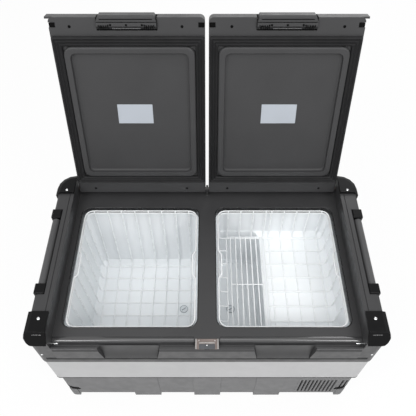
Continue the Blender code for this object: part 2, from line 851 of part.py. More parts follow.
def make_foam():
    top = deck_under - GAP
    shoulder = BAND_TOP - FRAME_WALL - GAP
    seat = CASE_WALL + GAP
    plan = case_plan(seat, case_rear)
    foam = extrude("insulation_foam", plan, bay_floor + GAP, shoulder, "Z", FOAM)
    weld(foam, extrude("upper", case_plan(FOAM_TOP_INSET, case_rear), shoulder - GAP, top))
    carve(foam, block("bay", (bay_left, FAR), (-FAR, FAR), (0, bay_ceiling)))
    carve(foam, corner_blocks(FOOT_SIZE + CASE_WALL + GAP, 0, foot_ceiling + CASE_WALL + GAP))
    control = (half_width - BAND_INSET - BAND_WALL - PANEL_DEPTH - GAP * 2, FAR)
    carve(foam, block("control", control, *panel_window(GAP)))
    clear = LINER_WALL + EVAPORATOR_THICKNESS + GAP * 2
    narrow = clear - WELL_SHELF * 2
    floor = -LINER_WALL - GAP
    heights = (LINER_FLOOR + floor, STEP_FLOOR)
    carve(foam, loft("well", [tub_plan(1, z, narrow, well_width) for z in heights]))
    for side, depth in ((-1, LINER_FLOOR), (1, STEP_FLOOR)):
        carve(foam, loft("tub", [tub_plan(side, z, clear) for z in (depth + floor, top + GAP)]))
        seat = LINER_WALL + LINER_FLANGE + GAP
        rest = [tub_plan(side, z, seat) for z in (top - LINER_WALL - GAP, top + GAP)]
        low = LINER_FLOOR - LINER_WALL * 2 - GAP
        carve(foam, loft("flange", rest), drain_hole(side, DRAIN_STEM + GAP, low, LINER_FLOOR))
    return foam


def bent_wire(name, path, normal, closed=False):
    """A wire along a flat path, mitred at its bends; normal is square to the path's plane."""
    normal = Vector(normal)
    path = [Vector(point) for point in path]
    last = len(path) - 1
    turns = [2 * math.pi * (i + 0.5) / WIRE_SIDES for i in range(WIRE_SIDES)]
    loops = []
    for i, point in enumerate(path):
        after = path[(i + 1) % len(path)] if closed or i < last else None
        before = path[i - 1] if closed or i > 0 else None
        ahead = (after - point if after else point - before).normalized()
        behind = (point - before).normalized() if before else ahead
        across = normal.cross(ahead + behind).normalized()
        stretch = 1 / across.dot(normal.cross(ahead))
        loop = []
        for turn in turns:
            sway = across * (WIRE_RADIUS * stretch * math.sin(turn))
            loop.append(point + normal * (WIRE_RADIUS * math.cos(turn)) + sway)
        loops.append(loop)
    return loft(name, loops, ring=closed)


def basket_limits(z):
    """A basket's wire lines at a height: nearest the divider, outermost, front and back."""
    share = (deck_under - z) / (deck_under - LINER_FLOOR)
    inset = LINER_DRAFT * share - LINER_REVEAL + BASKET_GAP + WIRE_RADIUS
    return (
        opening_in + inset,
        opening_out - inset,
        opening_front + inset,
        opening_back - inset,
    )


def wire_corner(rim, wall, inward, floor_z):
    """One end of a basket wire in its own plane, from the rim down: rim, wall and bend to the floor."""
    points = [rim]
    for turn in (0, 45, 90):
        angle = math.radians(turn)
        run = wall + inward * BASKET_BEND * (1 - math.cos(angle))
        points.append((run, floor_z + BASKET_BEND * (1 - math.sin(angle))))
    return points


def basket_rims(side):
    """The two rim wires of a basket; the upper one bends in at the sides as hand grips."""
    rims = []
    for drop, pull, bump in ((0, -WIRE_RADIUS / 3, GRIP_BUMP), (RIM_PITCH, WIRE_RADIUS / 3, 0)):
        x_in, x_out, y_front, y_back = basket_limits(rim_z - drop)
        limits = (x_in + pull, x_out - pull, y_front + pull, y_back - pull)
        outline = rounded(*limits, OPENING_CORNER - BASKET_GAP, 3)
        if bump:
            half = len(outline) // 2
            outline[half:half] = grip(limits[0], limits[0] + bump, 1)
            outline += grip(limits[1], limits[1] - bump, -1)
        path = [(side * x, y, rim_z - drop) for x, y in outline]
        rims.append(bent_wire("rim", path, (0, 0, 1), True))
    return rims


def grip(wall, inside, way):
    """The four bends of a hand grip in a rim; way is 1 on the side that the rim runs frontwards."""
    middle = (opening_front + opening_back) / 2
    reach = GRIP_LENGTH / 2
    shoulder = reach - GRIP_BUMP
    turns = ((wall, reach), (inside, shoulder), (inside, -shoulder), (wall, -reach))
    return [(x, middle + way * y) for x, y in turns]


def finish_basket(name, wires, rims):
    """Weld a basket's wires, laid one way, laid the other way, and its rims, into one piece."""
    lengthwise, crosswise = (gather(name, group) for group in wires)
    lengthwise.data.materials.append(WIRE)
    return weld(lengthwise, crosswise, *rims)


def make_left_basket():
    floor_z = LINER_FLOOR + GAP + wire_half
    x_in, x_out, y_front, y_back = basket_limits(floor_z)
    lower_z = rim_z - RIM_PITCH
    _, _, r_front, r_back = basket_limits(rim_z)
    r_in, r_out, _, _ = basket_limits(lower_z)
    lengthwise = []
    for x in spread(LEFT_WIRES, x_in + WIRE_MARGIN, x_out - WIRE_MARGIN):
        near = wire_corner((r_front, rim_z), y_front, 1, floor_z)
        far = wire_corner((r_back, rim_z), y_back, -1, floor_z)
        path = [(-x, y, z) for y, z in near + far[::-1]]
        lengthwise.append(bent_wire("wire", path, (1, 0, 0)))
    crosswise = []
    for y in spread(CROSS_WIRES, y_front + WIRE_MARGIN, y_back - WIRE_MARGIN):
        near = wire_corner((r_in, lower_z), x_in, 1, floor_z + WIRE_LAP)
        far = wire_corner((r_out, lower_z), x_out, -1, floor_z + WIRE_LAP)
        path = [(-x, y, z) for x, z in near + far[::-1]]
        crosswise.append(bent_wire("wire", path, (0, 1, 0)))
    finish_basket("left_basket", (lengthwise, crosswise), basket_rims(-1))


def make_right_basket():
    """The shallow basket: a floor over the machine bay and an open frame over the well."""
    floor_z = STEP_FLOOR + GAP + wire_half
    x_in, x_out, y_front, y_back = basket_limits(floor_z)
    lower_z = rim_z - RIM_PITCH
    _, _, r_front, r_back = basket_limits(rim_z)
    r_in, r_out, _, _ = basket_limits(lower_z)
    frame_x = (x_in + FRAME_INSET, well_edge + LINER_BEND)
    frame_y = (y_front + BASKET_BEND / 2, y_back - BASKET_BEND / 2)
    lengthwise = []
    for x in spread(RIGHT_WIRES, frame_x[1] + LADDER_WIDTH, x_out - WIRE_MARGIN):
        near = wire_corner((r_front, rim_z), y_front, 1, floor_z)
        far = wire_corner((r_back, rim_z), y_back, -1, floor_z)
        path = [(x, y, z) for y, z in near + far[::-1]]
        lengthwise.append(bent_wire("wire", path, (1, 0, 0)))
    bend_z = floor_z + BASKET_BEND
    for x in spread(WELL_WIRES, frame_x[0] + WIRE_LAP, frame_x[1] - WIRE_LAP):
        for rim, wall, edge in ((r_front, y_front, frame_y[0]), (r_back, y_back, frame_y[1])):
            path = [(x, rim, rim_z), (x, wall, bend_z), (x, edge, floor_z)]
            lengthwise.append(bent_wire("wire", path, (1, 0, 0)))
    crosswise = []
    for y in spread(CROSS_WIRES, y_front + WIRE_MARGIN, y_back - WIRE_MARGIN):
        inner = wire_corner((r_in, lower_z), x_in, 1, floor_z + WIRE_LAP)
        outer = wire_corner((r_out, lower_z), x_out, -1, floor_z + WIRE_LAP)
        for end, edge in ((inner, frame_x[0]), (outer, frame_x[1])):
            path = [(x, y, z) for x, z in end + [(edge, floor_z + WIRE_LAP)]]
            crosswise.append(bent_wire("wire", path, (0, 1, 0)))
    window = rounded(*frame_x, *frame_y, WIRE_RADIUS * 3, 2)
    window = bent_wire("window", [(x, y, floor_z) for x, y in window], (0, 0, 1), True)
    finish_basket("right_basket", (lengthwise, crosswise), basket_rims(1) + [window])
    make_rack(frame_x, frame_y, floor_z + wire_half * 2 + GAP)


def make_rack(frame_x, frame_y, z):
    """A loose rack over the well, its end bars resting on the basket's frame."""
    ends = (frame_y[0] + RACK_MARGIN, frame_y[1] - RACK_MARGIN)
    places = spread(RACK_WIRES, frame_x[0] + RACK_EDGE, frame_x[1] - RACK_EDGE)
    inside = (places[0] - WIRE_RADIUS, places[-1] + WIRE_RADIUS)
    bars = []
    for y, limits in ((ends[0], frame_x), ((ends[0] + ends[1]) / 2, inside), (ends[1], frame_x)):
        bars.append(bent_wire("bar", [(limits[0], y, z), (limits[1], y, z)], (0, 1, 0)))
    rods = []
    for x in places:
        path = [(x, ends[0] - WIRE_RADIUS, z + WIRE_LAP), (x, ends[1] + WIRE_RADIUS, z + WIRE_LAP)]
        rods.append(bent_wire("rod", path, (1, 0, 0)))
    finish_basket("basket_rack", (rods, bars), [])


def lid_x(side, low, high):
    """A pair of limits across a lid, on its own side of the cabinet."""
    return sorted((side * low, side * high))


def make_lid(side, hand, hinge):
    """One lid, modelled shut and hung on the hinge empty, which holds it open."""
    gasket_front = lid_front + STRIP_FRONT
    gasket_back = hinge_y + BARREL_RADIUS - STRIP_REAR
    xs = lid_x(side, lid_in, lid_out)
    shell = pillow(
        f"{hand}_lid_shell",
        xs,
        (lid_front, hinge_y),
        (lid_low, lid_high),
        LID_CORNER,
        top=LID_ROUND,
        material=LID,
    )
    crown = pillow(
        "crown",
        lid_x(side, lid_in + CROWN_INSET, lid_out - CROWN_INSET),
        (lid_front + CROWN_INSET, hinge_y - CROWN_INSET),
        (lid_high - LID_WALL / 2, lid_high + CROWN_RISE),
        PLUG_CORNER,
        top=CROWN_RISE - GAP,
        material=LID,
    )
    ear_z = lid_high - LID_ROUND - LID_EAR_HEIGHT
    ear = block(
        "ear",
        lid_x(side, lid_out - LID_CORNER * 2, lid_out + LID_EAR),
        (lid_front, lid_front + LID_EAR_THICKNESS),
        (ear_z, ear_z + LID_EAR_HEIGHT),
    )
    barrel = rod("barrel", "X", (hinge_y, hinge_z), BARREL_RADIUS, *xs, 24)
    weld(shell, barrel, ear, crown)
    pocket_x = lid_x(side, lid_in + LID_WALL, lid_out - LID_WALL)
    pocket = block("pocket", pocket_x, (gasket_front, gasket_back), (0, lid_high - LID_WALL))
    middle = side * lid_mid
    half = LATCH_WIDTH / 2 + GAP * 4
    notch_back = lid_front + LATCH_NOTCH
    notch = block(
        "notch",
        (middle - half, middle + half),
        (-FAR, notch_back),
        (0, lid_high - LATCH_ROOF),
    )
    carve(shell, pocket, notch)
    for low, high in ((lid_in - GAP, lid_in + PIN_BORE), (lid_out - PIN_BORE, lid_out + GAP)):
        bore = rod("bore", "X", (hinge_y, hinge_z), PIN_RADIUS + GAP, *lid_x(side, low, high))
        carve(shell, bore)
    nick_y = (lid_front + STRIP_NOTCH, lid_front + STRIP_NOTCH * 2)
    reach = STRIP_NOTCH_REACH
    for low, high in ((lid_in - GAP, lid_in + reach), (lid_out - reach, lid_out + GAP)):
        nick = block("nick", lid_x(side, low, high), nick_y, (0, lid_low + STRIP_NOTCH))
        carve(shell, nick)
    axis = (lid_front - LATCH_PROUD + LATCH_AXIS_BACK, lid_low + LATCH_AXIS_UP)
    reach = LATCH_WIDTH / 2 + LATCH_PIN_SEAT
    seat = (middle - reach - GAP, middle + reach + GAP)
    carve(shell, rod("latch_seat", "X", axis, LATCH_PIN_RADIUS + GAP, *seat, 8))

    panel = make_lid_panel(side, hand, pocket_x, gasket_front, gasket_back)
    gasket = make_gasket(side, hand, gasket_front, gasket_back)
    latch = make_latch(middle, hand, axis)
    pin = rod(
        f"{hand}_latch_pin",
        "X",
        axis,
        LATCH_PIN_RADIUS,
        middle - reach,
        middle + reach,
        8,
        STEEL,
    )
    for piece in (shell, panel, gasket, latch, pin):
        hang(piece, hinge)


def plug_limits(side):
    """The raised ring's limits across and along, set in from the lid's edges."""
    xs = lid_x(side, lid_in + PLUG_IN, lid_out - PLUG_OUT)
    return xs, (lid_front + PLUG_FRONT, hinge_y - PLUG_REAR)


def make_lid_panel(side, hand, pocket_x, gasket_front, gasket_back):
    panel = block(
        f"{hand}_lid_panel",
        (pocket_x[0] + GAP, pocket_x[1] - GAP),
        (gasket_front + GAP, gasket_back - GAP),
        (lid_low, lid_low + PANEL_FLANGE),
        LID,
    )
    xs, ys = plug_limits(side)
    low = lid_low - PLUG_HEIGHT
    ring = pillow(
        "ring",
        xs,
        ys,
        (low, lid_low + PANEL_FLANGE / 2),
        PLUG_CORNER,
        bottom=PLUG_RING / 3,
        steps=3,
    )
    recess = pillow(
        "recess",
        (xs[0] + PLUG_RING, xs[1] - PLUG_RING),
        (ys[0] + PLUG_RING, ys[1] - PLUG_RING),
        (low - GAP, low + PLUG_RECESS),
        PLUG_CORNER - PLUG_RING / 2,
        top=PLUG_RING / 3,
    )
    return carve(weld(panel, ring), recess)


def make_gasket(side, hand, gasket_front, gasket_back):
    """A ribbed seal round the raised ring, pressed on the deck when the lid is shut."""
    xs, ys = plug_limits(side)
    outer_x = lid_x(side, lid_in + GASKET_EDGE, lid_out - GASKET_EDGE)
    outer_y = (gasket_front + GASKET_EDGE, gasket_back - GASKET_EDGE)
    high = lid_low - GAP
    low = DECK_HEIGHT + GAP * 2

    def loop(share, z):
        inner = GASKET_EDGE / 2
        limits = []
        for outside, inside, sign in (
            (outer_x[0], xs[0] - inner, 1),
            (outer_x[1], xs[1] + inner, -1),
            (outer_y[0], ys[0] - inner, 1),
            (outer_y[1], ys[1] + inner, -1),
        ):
            limits.append(outside + (inside - outside) * share)
        return [(x, y, z) for x, y in rounded(*limits, GASKET_CORNER)]

    loops = [loop(0, high), loop(0, low + GASKET_RIDGE)]
    for i in range(GASKET_RIDGES):
        loops.append(loop((i + 0.5) / GASKET_RIDGES, low))
        loops.append(loop((i + 1) / GASKET_RIDGES, low + GASKET_RIDGE))
    loops.append(loop(1, high))
    return loft(f"{hand}_gasket", loops, RUBBER, ring=True)


def make_latch(middle, hand, axis):
    """A pull paddle in the lid's front notch, with finger ribs under it."""
    face = lid_front - LATCH_PROUD
    low = lid_low - LATCH_DROP
    high = low + LATCH_HEIGHT
    tail = face + LATCH_DEPTH
    chamfer = LATCH_HEIGHT / 8
    outline = [
        (face, low + chamfer),
        (face + chamfer, low),
        (tail - chamfer * 2, low),
        (tail, low + chamfer * 2),
        (tail, low + chamfer * 4),
        (axis[0] + chamfer * 2, high),
        (face + chamfer, high),
        (face, high - chamfer),
    ]
    half = LATCH_WIDTH / 2
    latch = extrude(f"{hand}_latch", outline, middle - half, middle + half, "X", LID)
    groove_y = face + LATCH_GROOVE_BACK
    plan = [
        (middle - half + LATCH_TAPER, face - GAP),
        (middle + half - LATCH_TAPER, face - GAP),
        (middle + half + GAP, groove_y),
        (middle + half + GAP, tail + GAP),
        (middle - half - GAP, tail + GAP),
        (middle - half - GAP, groove_y),
    ]
    clip(latch, extrude("plan", plan, 0, FAR))
    groove = (groove_y - LATCH_GROOVE / 2, groove_y + LATCH_GROOVE / 2)
    carve(latch, block("groove", (middle - FAR, middle + FAR), groove, (0, low + chamfer * 1.5)))
    holes = []
    for offset in (-LATCH_HOLE_PITCH, 0, LATCH_HOLE_PITCH):
        place = (middle + offset, face + LATCH_HOLE_BACK)
        holes.append(rod("hole", "Z", place, LATCH_HOLE, 0, low + chamfer * 2, 8))
    carve(latch, gather("holes", holes))
    bore = rod("bore", "X", axis, LATCH_PIN_RADIUS + GAP, middle - FAR, middle + FAR, 8)
    slots = []
    pitch = half / LATCH_SLOTS / 3
    for end in (-1, 1):
        for i in range(LATCH_SLOTS):
            x = middle + end * (half - pitch * (i + 1))
            ys = (tail - LATCH_DEPTH / 3, tail + LATCH_DEPTH)
            slots.append(block("slot", (x - pitch / 4, x + pitch / 4), ys, (0, low + chamfer * 2)))
    return carve(latch, bore, gather("slots", slots))


def hang(piece, empty):
    """Parent a piece to an empty, keeping the piece where the empty's turn puts it."""
    piece.parent = empty
    piece.matrix_parent_inverse = Matrix.Translation(-empty.location)


def pivot(name, place):
    """An empty on a joint's axis."""
    empty = bpy.data.objects.new(name, None)
    empty.location = place
    bpy.context.collection.objects.link(empty)
    return empty


def make_lids():
    for side, hand in ((-1, "left"), (1, "right")):
        hinge = pivot(f"{hand}_hinge_axis", (0, hinge_y, hinge_z))
        make_lid(side, hand, hinge)
        hinge.rotation_euler = (-OPEN_ANGLE, 0, 0)
        limits = lid_x(side, lid_out - PIN_BORE + GAP, well_half + PIN_SEAT - GAP)
        rod(f"{hand}_hinge_pin", "X", (hinge_y, hinge_z), PIN_RADIUS, *limits, 12, STEEL)
    reach = lid_in + PIN_BORE - GAP
    rod("centre_hinge_pin", "X", (hinge_y, hinge_z), PIN_RADIUS, -reach, reach, 12, STEEL)


def make_handles():
    half = POCKET_LENGTH / 2 - HANDLE_PLAY
    low = pocket_low + HANDLE_PLAY * 4
    for side, hand in ((-1, "left"), (1, "right")):
        xs = lid_x(side, handle_x - HANDLE_THICKNESS / 2, handle_x + HANDLE_THICKNESS / 2)
        handle = pillow(
            f"{hand}_handle",
            (-half, half),
            (low, handle_z),
            xs,
            HANDLE_LEG / 2,
            top=HANDLE_THICKNESS / 5,
            bottom=HANDLE_THICKNESS / 5,
            axis="X",
            material=DARK,
            steps=1,
            arc=3,
        )
        inner = half - HANDLE_LEG
        window = rounded(
            -inner,
            inner,
            low + HANDLE_BAR,
            handle_z - HANDLE_RADIUS - GAP,
            HANDLE_LEG / 2,
            3,
        )
        carve(handle, extrude("window", window, -FAR, FAR, "X"))
        weld(handle, rod("barrel", "Y", (side * handle_x, handle_z), HANDLE_RADIUS, -half, half, 16))
        for end in (-1, 1):
            ends = (end * (half - HANDLE_STUB - HANDLE_PLAY), end * FAR)
            axis = (side * handle_x, handle_z)
            carve(handle, rod("bore", "Y", axis, HANDLE_STUB_RADIUS + GAP, *ends))
            make_bracket(side, hand, end, half)


def make_bracket(side, hand, end, half):
    """A black cap at one end of a handle's pocket, with a stub that the handle turns on."""
    name = f"{hand}_{'front' if end < 0 else 'rear'}_bracket"
    start = POCKET_LENGTH / 2
    finish = start + BRACKET_LENGTH - GAP
    bracket = block(
        name,
        (side * (pocket_floor + GAP), side * (half_width + BRACKET_PROUD)),
        (end * start, end * finish),
        (rail_top - BRACKET_HEIGHT + GAP, rail_top + BRACKET_PROUD),
        BLACK,
    )
    soften(bracket, BRACKET_PROUD)
    ends = (end * (half - HANDLE_STUB), end * (start + BRACKET_LENGTH / 2))
    stub = rod("stub", "Y", (side * handle_x, handle_z), HANDLE_STUB_RADIUS, *ends)
    return weld(bracket, stub)


def make_lock_plate():
    """A stainless plate that bridges the trough between the lids."""
    lip = front + RIM_THICKNESS + TROUGH_LENGTH
    ys = (front - RIM_PROUD / 2, lip + RIM_THICKNESS)
    outline = rounded(-LOCK_WIDTH / 2, LOCK_WIDTH / 2, *ys, RIM_THICKNESS)
    low = DECK_HEIGHT + GAP
    plate = extrude("lock_plate", outline, low, low + LOCK_THICKNESS, "Z", STEEL)
    mouth = (-LOCK_MOUTH / 2, LOCK_MOUTH / 2)
    slot = block("mouth", mouth, (front - FAR, front + TROUGH_LENGTH / 2), (0, FAR))
    return carve(plate, slot)


def grille(name, axis, us, zs, face, inward):
    """A slotted panel flush in its window, with a flange behind the case wall."""
    grow = VENT_FLANGE
    body = extrude(
        name,
        oblong(us[0] + GAP, us[1] - GAP, zs[0] + GAP, zs[1] - GAP),
        *sorted((face, face + inward * (CASE_WALL + GAP * 2))),
        axis,
        BLACK,
    )
    behind = face + inward * (CASE_WALL + GAP)
    rim = oblong(us[0] - grow, us[1] + grow, zs[0] - grow, zs[1] + grow)
    flange = extrude("flange", rim, *sorted((behind, behind + inward * CASE_WALL)), axis)
    weld(body, flange)
    width = vent_pitch * VENT_SLOT_SHARE
    slots = []
    for i in range(VENT_SLOTS):
        u = us[0] + VENT_BORDER + vent_pitch * (i + 0.5)
        slot = oblong(u - width / 2, u + width / 2, zs[0] + VENT_BORDER, zs[1] - VENT_BORDER)
        slots.append(extrude("slot", slot, -FAR, FAR, axis))
    return carve(body, gather("slots", slots))


def make_grilles():
    xs, zs = vent_window(0)
    front_grille = grille("front_vent_grille", "Y", xs, zs, case_front, 1)
    front_grille.data.materials[0] = CASE
    ys, zs = side_window(0)
    side_grille = grille("side_vent_grille", "X", ys, zs, case_half, -1)
    side_grille.data.materials[0] = CASE


def make_compressor(base):
    """The pot with its welded seam and two tube stubs, on a pressed plate."""
    middle = (bay_left + case_inside) / 2
    reach = COMPRESSOR_RADIUS + MOUNT_HEIGHT
    plate = pillow(
        "compressor_mount_plate",
        (middle - reach, middle + reach),
        (COMPRESSOR_Y - reach, COMPRESSOR_Y + reach),
        (base, base + MOUNT_HEIGHT),
        MOUNT_HEIGHT,
        top=MOUNT_HEIGHT / 4,
        material=STEEL,
    )
    hollow = reach - MOUNT_HEIGHT * 2
    carve(plate, rod("hole", "Z", (middle, COMPRESSOR_Y), hollow, 0, FAR, 16))

    foot = base + MOUNT_HEIGHT + GAP
    radius, height = COMPRESSOR_RADIUS, COMPRESSOR_HEIGHT
    seam = MOUNT_HEIGHT / 3
    seam_low = foot + height * POT_SEAM_SHARE
    profile = [(radius * r, foot + height * z) for r, z in POT_PROFILE_LOW]
    profile += [(radius + seam / 2, seam_low), (radius + seam / 2, seam_low + seam)]
    first, *rest = POT_PROFILE_HIGH
    profile.append((radius * first[0], seam_low + seam))
    profile += [(radius * r, foot + height * z) for r, z in rest]
    loops = []
    for r, z in profile:
        loops.append([along("Z", p, z) for p in circle(middle, COMPRESSOR_Y, r, 16)])
    pot = loft("compressor", loops, POT)
    for offset in (-radius / 2, radius / 2):
        tube = (middle + offset, foot + height * TUBE_SHARE)
        ends = (COMPRESSOR_Y - radius / 2, COMPRESSOR_Y - reach)
        weld(pot, rod("tube", "Y", tube, seam, *ends, 8))


def make_condenser(base):
    """The finned condenser behind the front vent; gives the fan's centre and front."""
    xs = (corner_edge - CONDENSER_WIDTH, corner_edge)
    face = case_front + CASE_WALL * 2 + GAP * 2
    rear = face + CONDENSER_DEPTH
    condenser = block("condenser", xs, (face, rear), (base, base + CONDENSER_HEIGHT), ALUMINIUM)
    pitch = CONDENSER_WIDTH / CONDENSER_FINS
    gaps = []
    for i in range(CONDENSER_FINS):
        x = xs[0] + pitch * (i + 0.5)
        deep = (face - GAP, rear - CASE_FLOOR)
        gaps.append(block("gap", (x - pitch / 3, x + pitch / 3), deep, (base + CASE_FLOOR, FAR)))
    centre = ((xs[0] + xs[1]) / 2, base + FAN_SIZE / 2)
    through = rod("through", "Y", centre, FAN_SIZE / 2 - CASE_FLOOR * 3, face, rear + GAP, 20)
    carve(condenser, gather("gaps", gaps), through)
    return centre, rear + GAP


def make_fan(base, centre, fan_front):
    """A square shroud with a spider and axle, and a rotor of flat pitched blades on the axle."""
    fan_x, fan_z = centre
    fan_back = fan_front + FAN_DEPTH
    hole = FAN_SIZE / 2 - CASE_FLOOR
    shroud = block(
        "fan_shroud",
        (fan_x - FAN_SIZE / 2, fan_x + FAN_SIZE / 2),
        (fan_front, fan_back),
        (base, base + FAN_SIZE),
        BLACK,
    )
    carve(shroud, rod("hole", "Y", centre, hole, 0, -FAR, 24))
    spider = fan_back - CASE_FLOOR
    reach = hole + GAP * 3
    for turn in (0, 90):
        arm = block("arm", (-reach, reach), (spider, fan_back), (-CASE_FLOOR, CASE_FLOOR))
        arm.data.transform(Matrix.Rotation(math.radians(turn), 4, "Y"))
        arm.data.transform(Matrix.Translation((fan_x, 0, fan_z)))
        weld(shroud, arm)
    hub_front = fan_front + CASE_FLOOR
    hub_back = spider - GAP
    weld(shroud, rod("axle", "Y", centre, FAN_HUB / 4, hub_front, fan_back - GAP, 10))

    rotor = rod("fan_rotor", "Y", centre, FAN_HUB, hub_front, hub_back, 16, BLACK)
    half_chord, half_blade = FAN_CHORD / 2, FAN_BLADE / 2
    span = (FAN_HUB - CASE_FLOOR, hole - FAN_TIP_GAP)
    for i in range(FAN_BLADES):
        blade = block("blade", span, (-half_blade, half_blade), (-half_chord, half_chord))
        blade.data.transform(Matrix.Rotation(FAN_PITCH, 4, "X"))
        blade.data.transform(Matrix.Rotation(2 * math.pi * i / FAN_BLADES, 4, "Y"))
        blade.data.transform(Matrix.Translation((fan_x, (hub_front + hub_back) / 2, fan_z)))
        weld(rotor, blade)
    carve(rotor, rod("bore", "Y", centre, FAN_HUB / 4 + GAP, 0, -FAR, 10))


def make_cooling_unit():
    """Everything on the floor of the machine bay."""
    base = bay_floor + GAP
    make_compressor(base)
    centre, fan_front = make_condenser(base)
    make_fan(base, centre, fan_front)
    width, depth, height = MODULE_SIZE
    module_x = min(corner_edge, case_half - case_rear)
    module_y = case_back - CASE_WALL - GAP
    block(
        "control_module",
        (module_x - width, module_x),
        (module_y - depth, module_y),
        (base, base + height),
        ALUMINIUM,
    )


def make_controls():
    """Panel, window and buttons in the band's right end, and the two power inlets below."""
    ys, zs = panel_window(-GAP)
    face = half_width - BAND_INSET
    rear = face - BAND_WALL - PANEL_DEPTH
    panel = block("control_panel", (rear, face + PANEL_LIP / 2), ys, zs, BLACK)
    lip_y, lip_z = panel_window(PANEL_LIP)
    lip = pillow(
        "lip",
        lip_y,
        lip_z,
        (face + GAP, face + PANEL_LIP),
        PANEL_LIP,
        top=PANEL_LIP / 3,
        axis="X",
    )
    weld(panel, lip)
    outside = face + PANEL_LIP
    window_z = PANEL_Z + PANEL_HEIGHT / 6
    across = (PANEL_Y - WINDOW_WIDTH / 2, PANEL_Y + WINDOW_WIDTH / 2)
    up = (window_z - WINDOW_HEIGHT / 2, window_z + WINDOW_HEIGHT / 2)
    recess = outside - WINDOW_DEPTH
    carve(panel, block("recess", (recess, FAR), across, up))
    block(
        "display_window",
        (recess + GAP, outside - GAP),
        (across[0] + GAP, across[1] - GAP),
        (up[0] + GAP, up[1] - GAP),
        GLASS,
    )
    button_z = PANEL_Z - PANEL_HEIGHT / 4
    for i, name in enumerate(("power_button", "set_button", "up_button", "down_button")):
        y = PANEL_Y + (i - 1.5) * BUTTON_PITCH
        ys = (y - BUTTON_WIDTH / 2, y + BUTTON_WIDTH / 2)
        zs = (button_z - BUTTON_HEIGHT / 2, button_z + BUTTON_HEIGHT / 2)
        hole_y = (ys[0] - GAP, ys[1] + GAP)
        hole_z = (zs[0] - GAP, zs[1] + GAP)
        carve(panel, block("hole", (outside - BUTTON_DEPTH, FAR), hole_y, hole_z))
        deep = outside - BUTTON_DEPTH + BUTTON_PROUD
        pillow(
            name,
            ys,
            zs,
            (deep, outside + BUTTON_PROUD),
            BUTTON_HEIGHT / 4,
            top=BUTTON_PROUD / 2,
            axis="X",
            material=CASE,
            steps=1,
            arc=2,
        )
    for index, name in enumerate(("low_voltage_inlet", "mains_inlet")):
        ys, zs = inlet_window(index, -GAP)
        inlet = block(name, (case_half - INLET_DEPTH, case_half + INLET_WALL / 2), ys, zs, BLACK)
        flange_y, flange_z = inlet_window(index, INLET_WALL)
        weld(inlet, block("flange", (case_half + GAP, case_half + INLET_WALL), flange_y, flange_z))
        socket_y, socket_z = inlet_window(index, -INLET_WALL)
        carve(inlet, block("socket", (case_half - INLET_DEPTH + INLET_WALL, FAR), socket_y, socket_z))
        pins = []
        for sign in (-1, 1):
            y = (ys[0] + ys[1]) / 2 + sign * INLET_WALL
            start = case_half - INLET_DEPTH + INLET_WALL / 2
            contact = rod("contact", "X", (y, INLET_Z), INLET_WALL / 4, start, case_half - INLET_WALL, 8)
            pins.append(contact)
        weld(inlet, *pins)


def shade(piece):
    """Smooth shading with sharp corners kept."""
    piece.data.shade_smooth()
    piece.data.set_sharp_from_angle(angle=math.radians(35))


make_top_frame()
make_guards()
make_belt_band()
make_lower_case()
make_feet()
make_liners()
make_evaporators()
make_foam()
make_left_basket()
make_right_basket()
make_lids()
make_handles()
make_lock_plate()
make_grilles()
make_cooling_unit()
make_controls()
for item in bpy.data.objects:
    if item.type == "MESH":
        shade(item)
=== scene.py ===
"""Looks of the dual-zone compressor chest fridge: finishes, wire baskets, fittings and light.

Metres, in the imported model's frame: the front looks along -Y and the lids stand open at the back.
"""
import json
import math

import bmesh
import bpy
from mathutils import Matrix, Vector


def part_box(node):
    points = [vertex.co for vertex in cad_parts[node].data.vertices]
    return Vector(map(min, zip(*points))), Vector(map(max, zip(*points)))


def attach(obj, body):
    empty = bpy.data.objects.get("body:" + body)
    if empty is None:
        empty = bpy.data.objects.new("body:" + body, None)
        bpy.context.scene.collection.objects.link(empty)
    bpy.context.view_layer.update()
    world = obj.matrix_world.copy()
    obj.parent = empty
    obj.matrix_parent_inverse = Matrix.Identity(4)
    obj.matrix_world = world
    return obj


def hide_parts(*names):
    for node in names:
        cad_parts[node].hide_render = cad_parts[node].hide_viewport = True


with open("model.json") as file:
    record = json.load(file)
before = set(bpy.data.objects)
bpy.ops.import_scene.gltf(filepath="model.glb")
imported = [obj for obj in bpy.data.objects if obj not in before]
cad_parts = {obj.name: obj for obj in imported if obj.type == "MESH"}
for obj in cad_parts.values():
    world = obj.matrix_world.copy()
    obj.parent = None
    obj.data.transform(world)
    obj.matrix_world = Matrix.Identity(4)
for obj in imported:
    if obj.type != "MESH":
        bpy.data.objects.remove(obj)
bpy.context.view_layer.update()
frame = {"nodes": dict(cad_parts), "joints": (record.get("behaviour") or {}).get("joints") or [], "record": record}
nodes = frame["nodes"]
joints = {joint["name"]: joint for joint in frame["joints"]}
scene = bpy.context.scene
SIDES = {"left": -1, "right": 1}

# Camera, fitted to the photograph
CAMERA_PLACE = (0.0025, -0.6775, 1.567)
CAMERA_PITCH = math.radians(53.4)
CAMERA_LENS = 41.97
SENSOR_WIDTH = 36.0

# Shading: edges sharper than these stay crisp
CAD_SHARP = math.radians(35)
SCENE_SHARP = math.radians(40)

# Fineness of round forms, and the thin step of insets, seams and raised rings
TURNED_SIDES = 20
RING_SIDES = 32
WIRE_SIDES = 10
BEND_STEPS = 6
CORNER_STEPS = 8
THIN_STEP = 0.0004

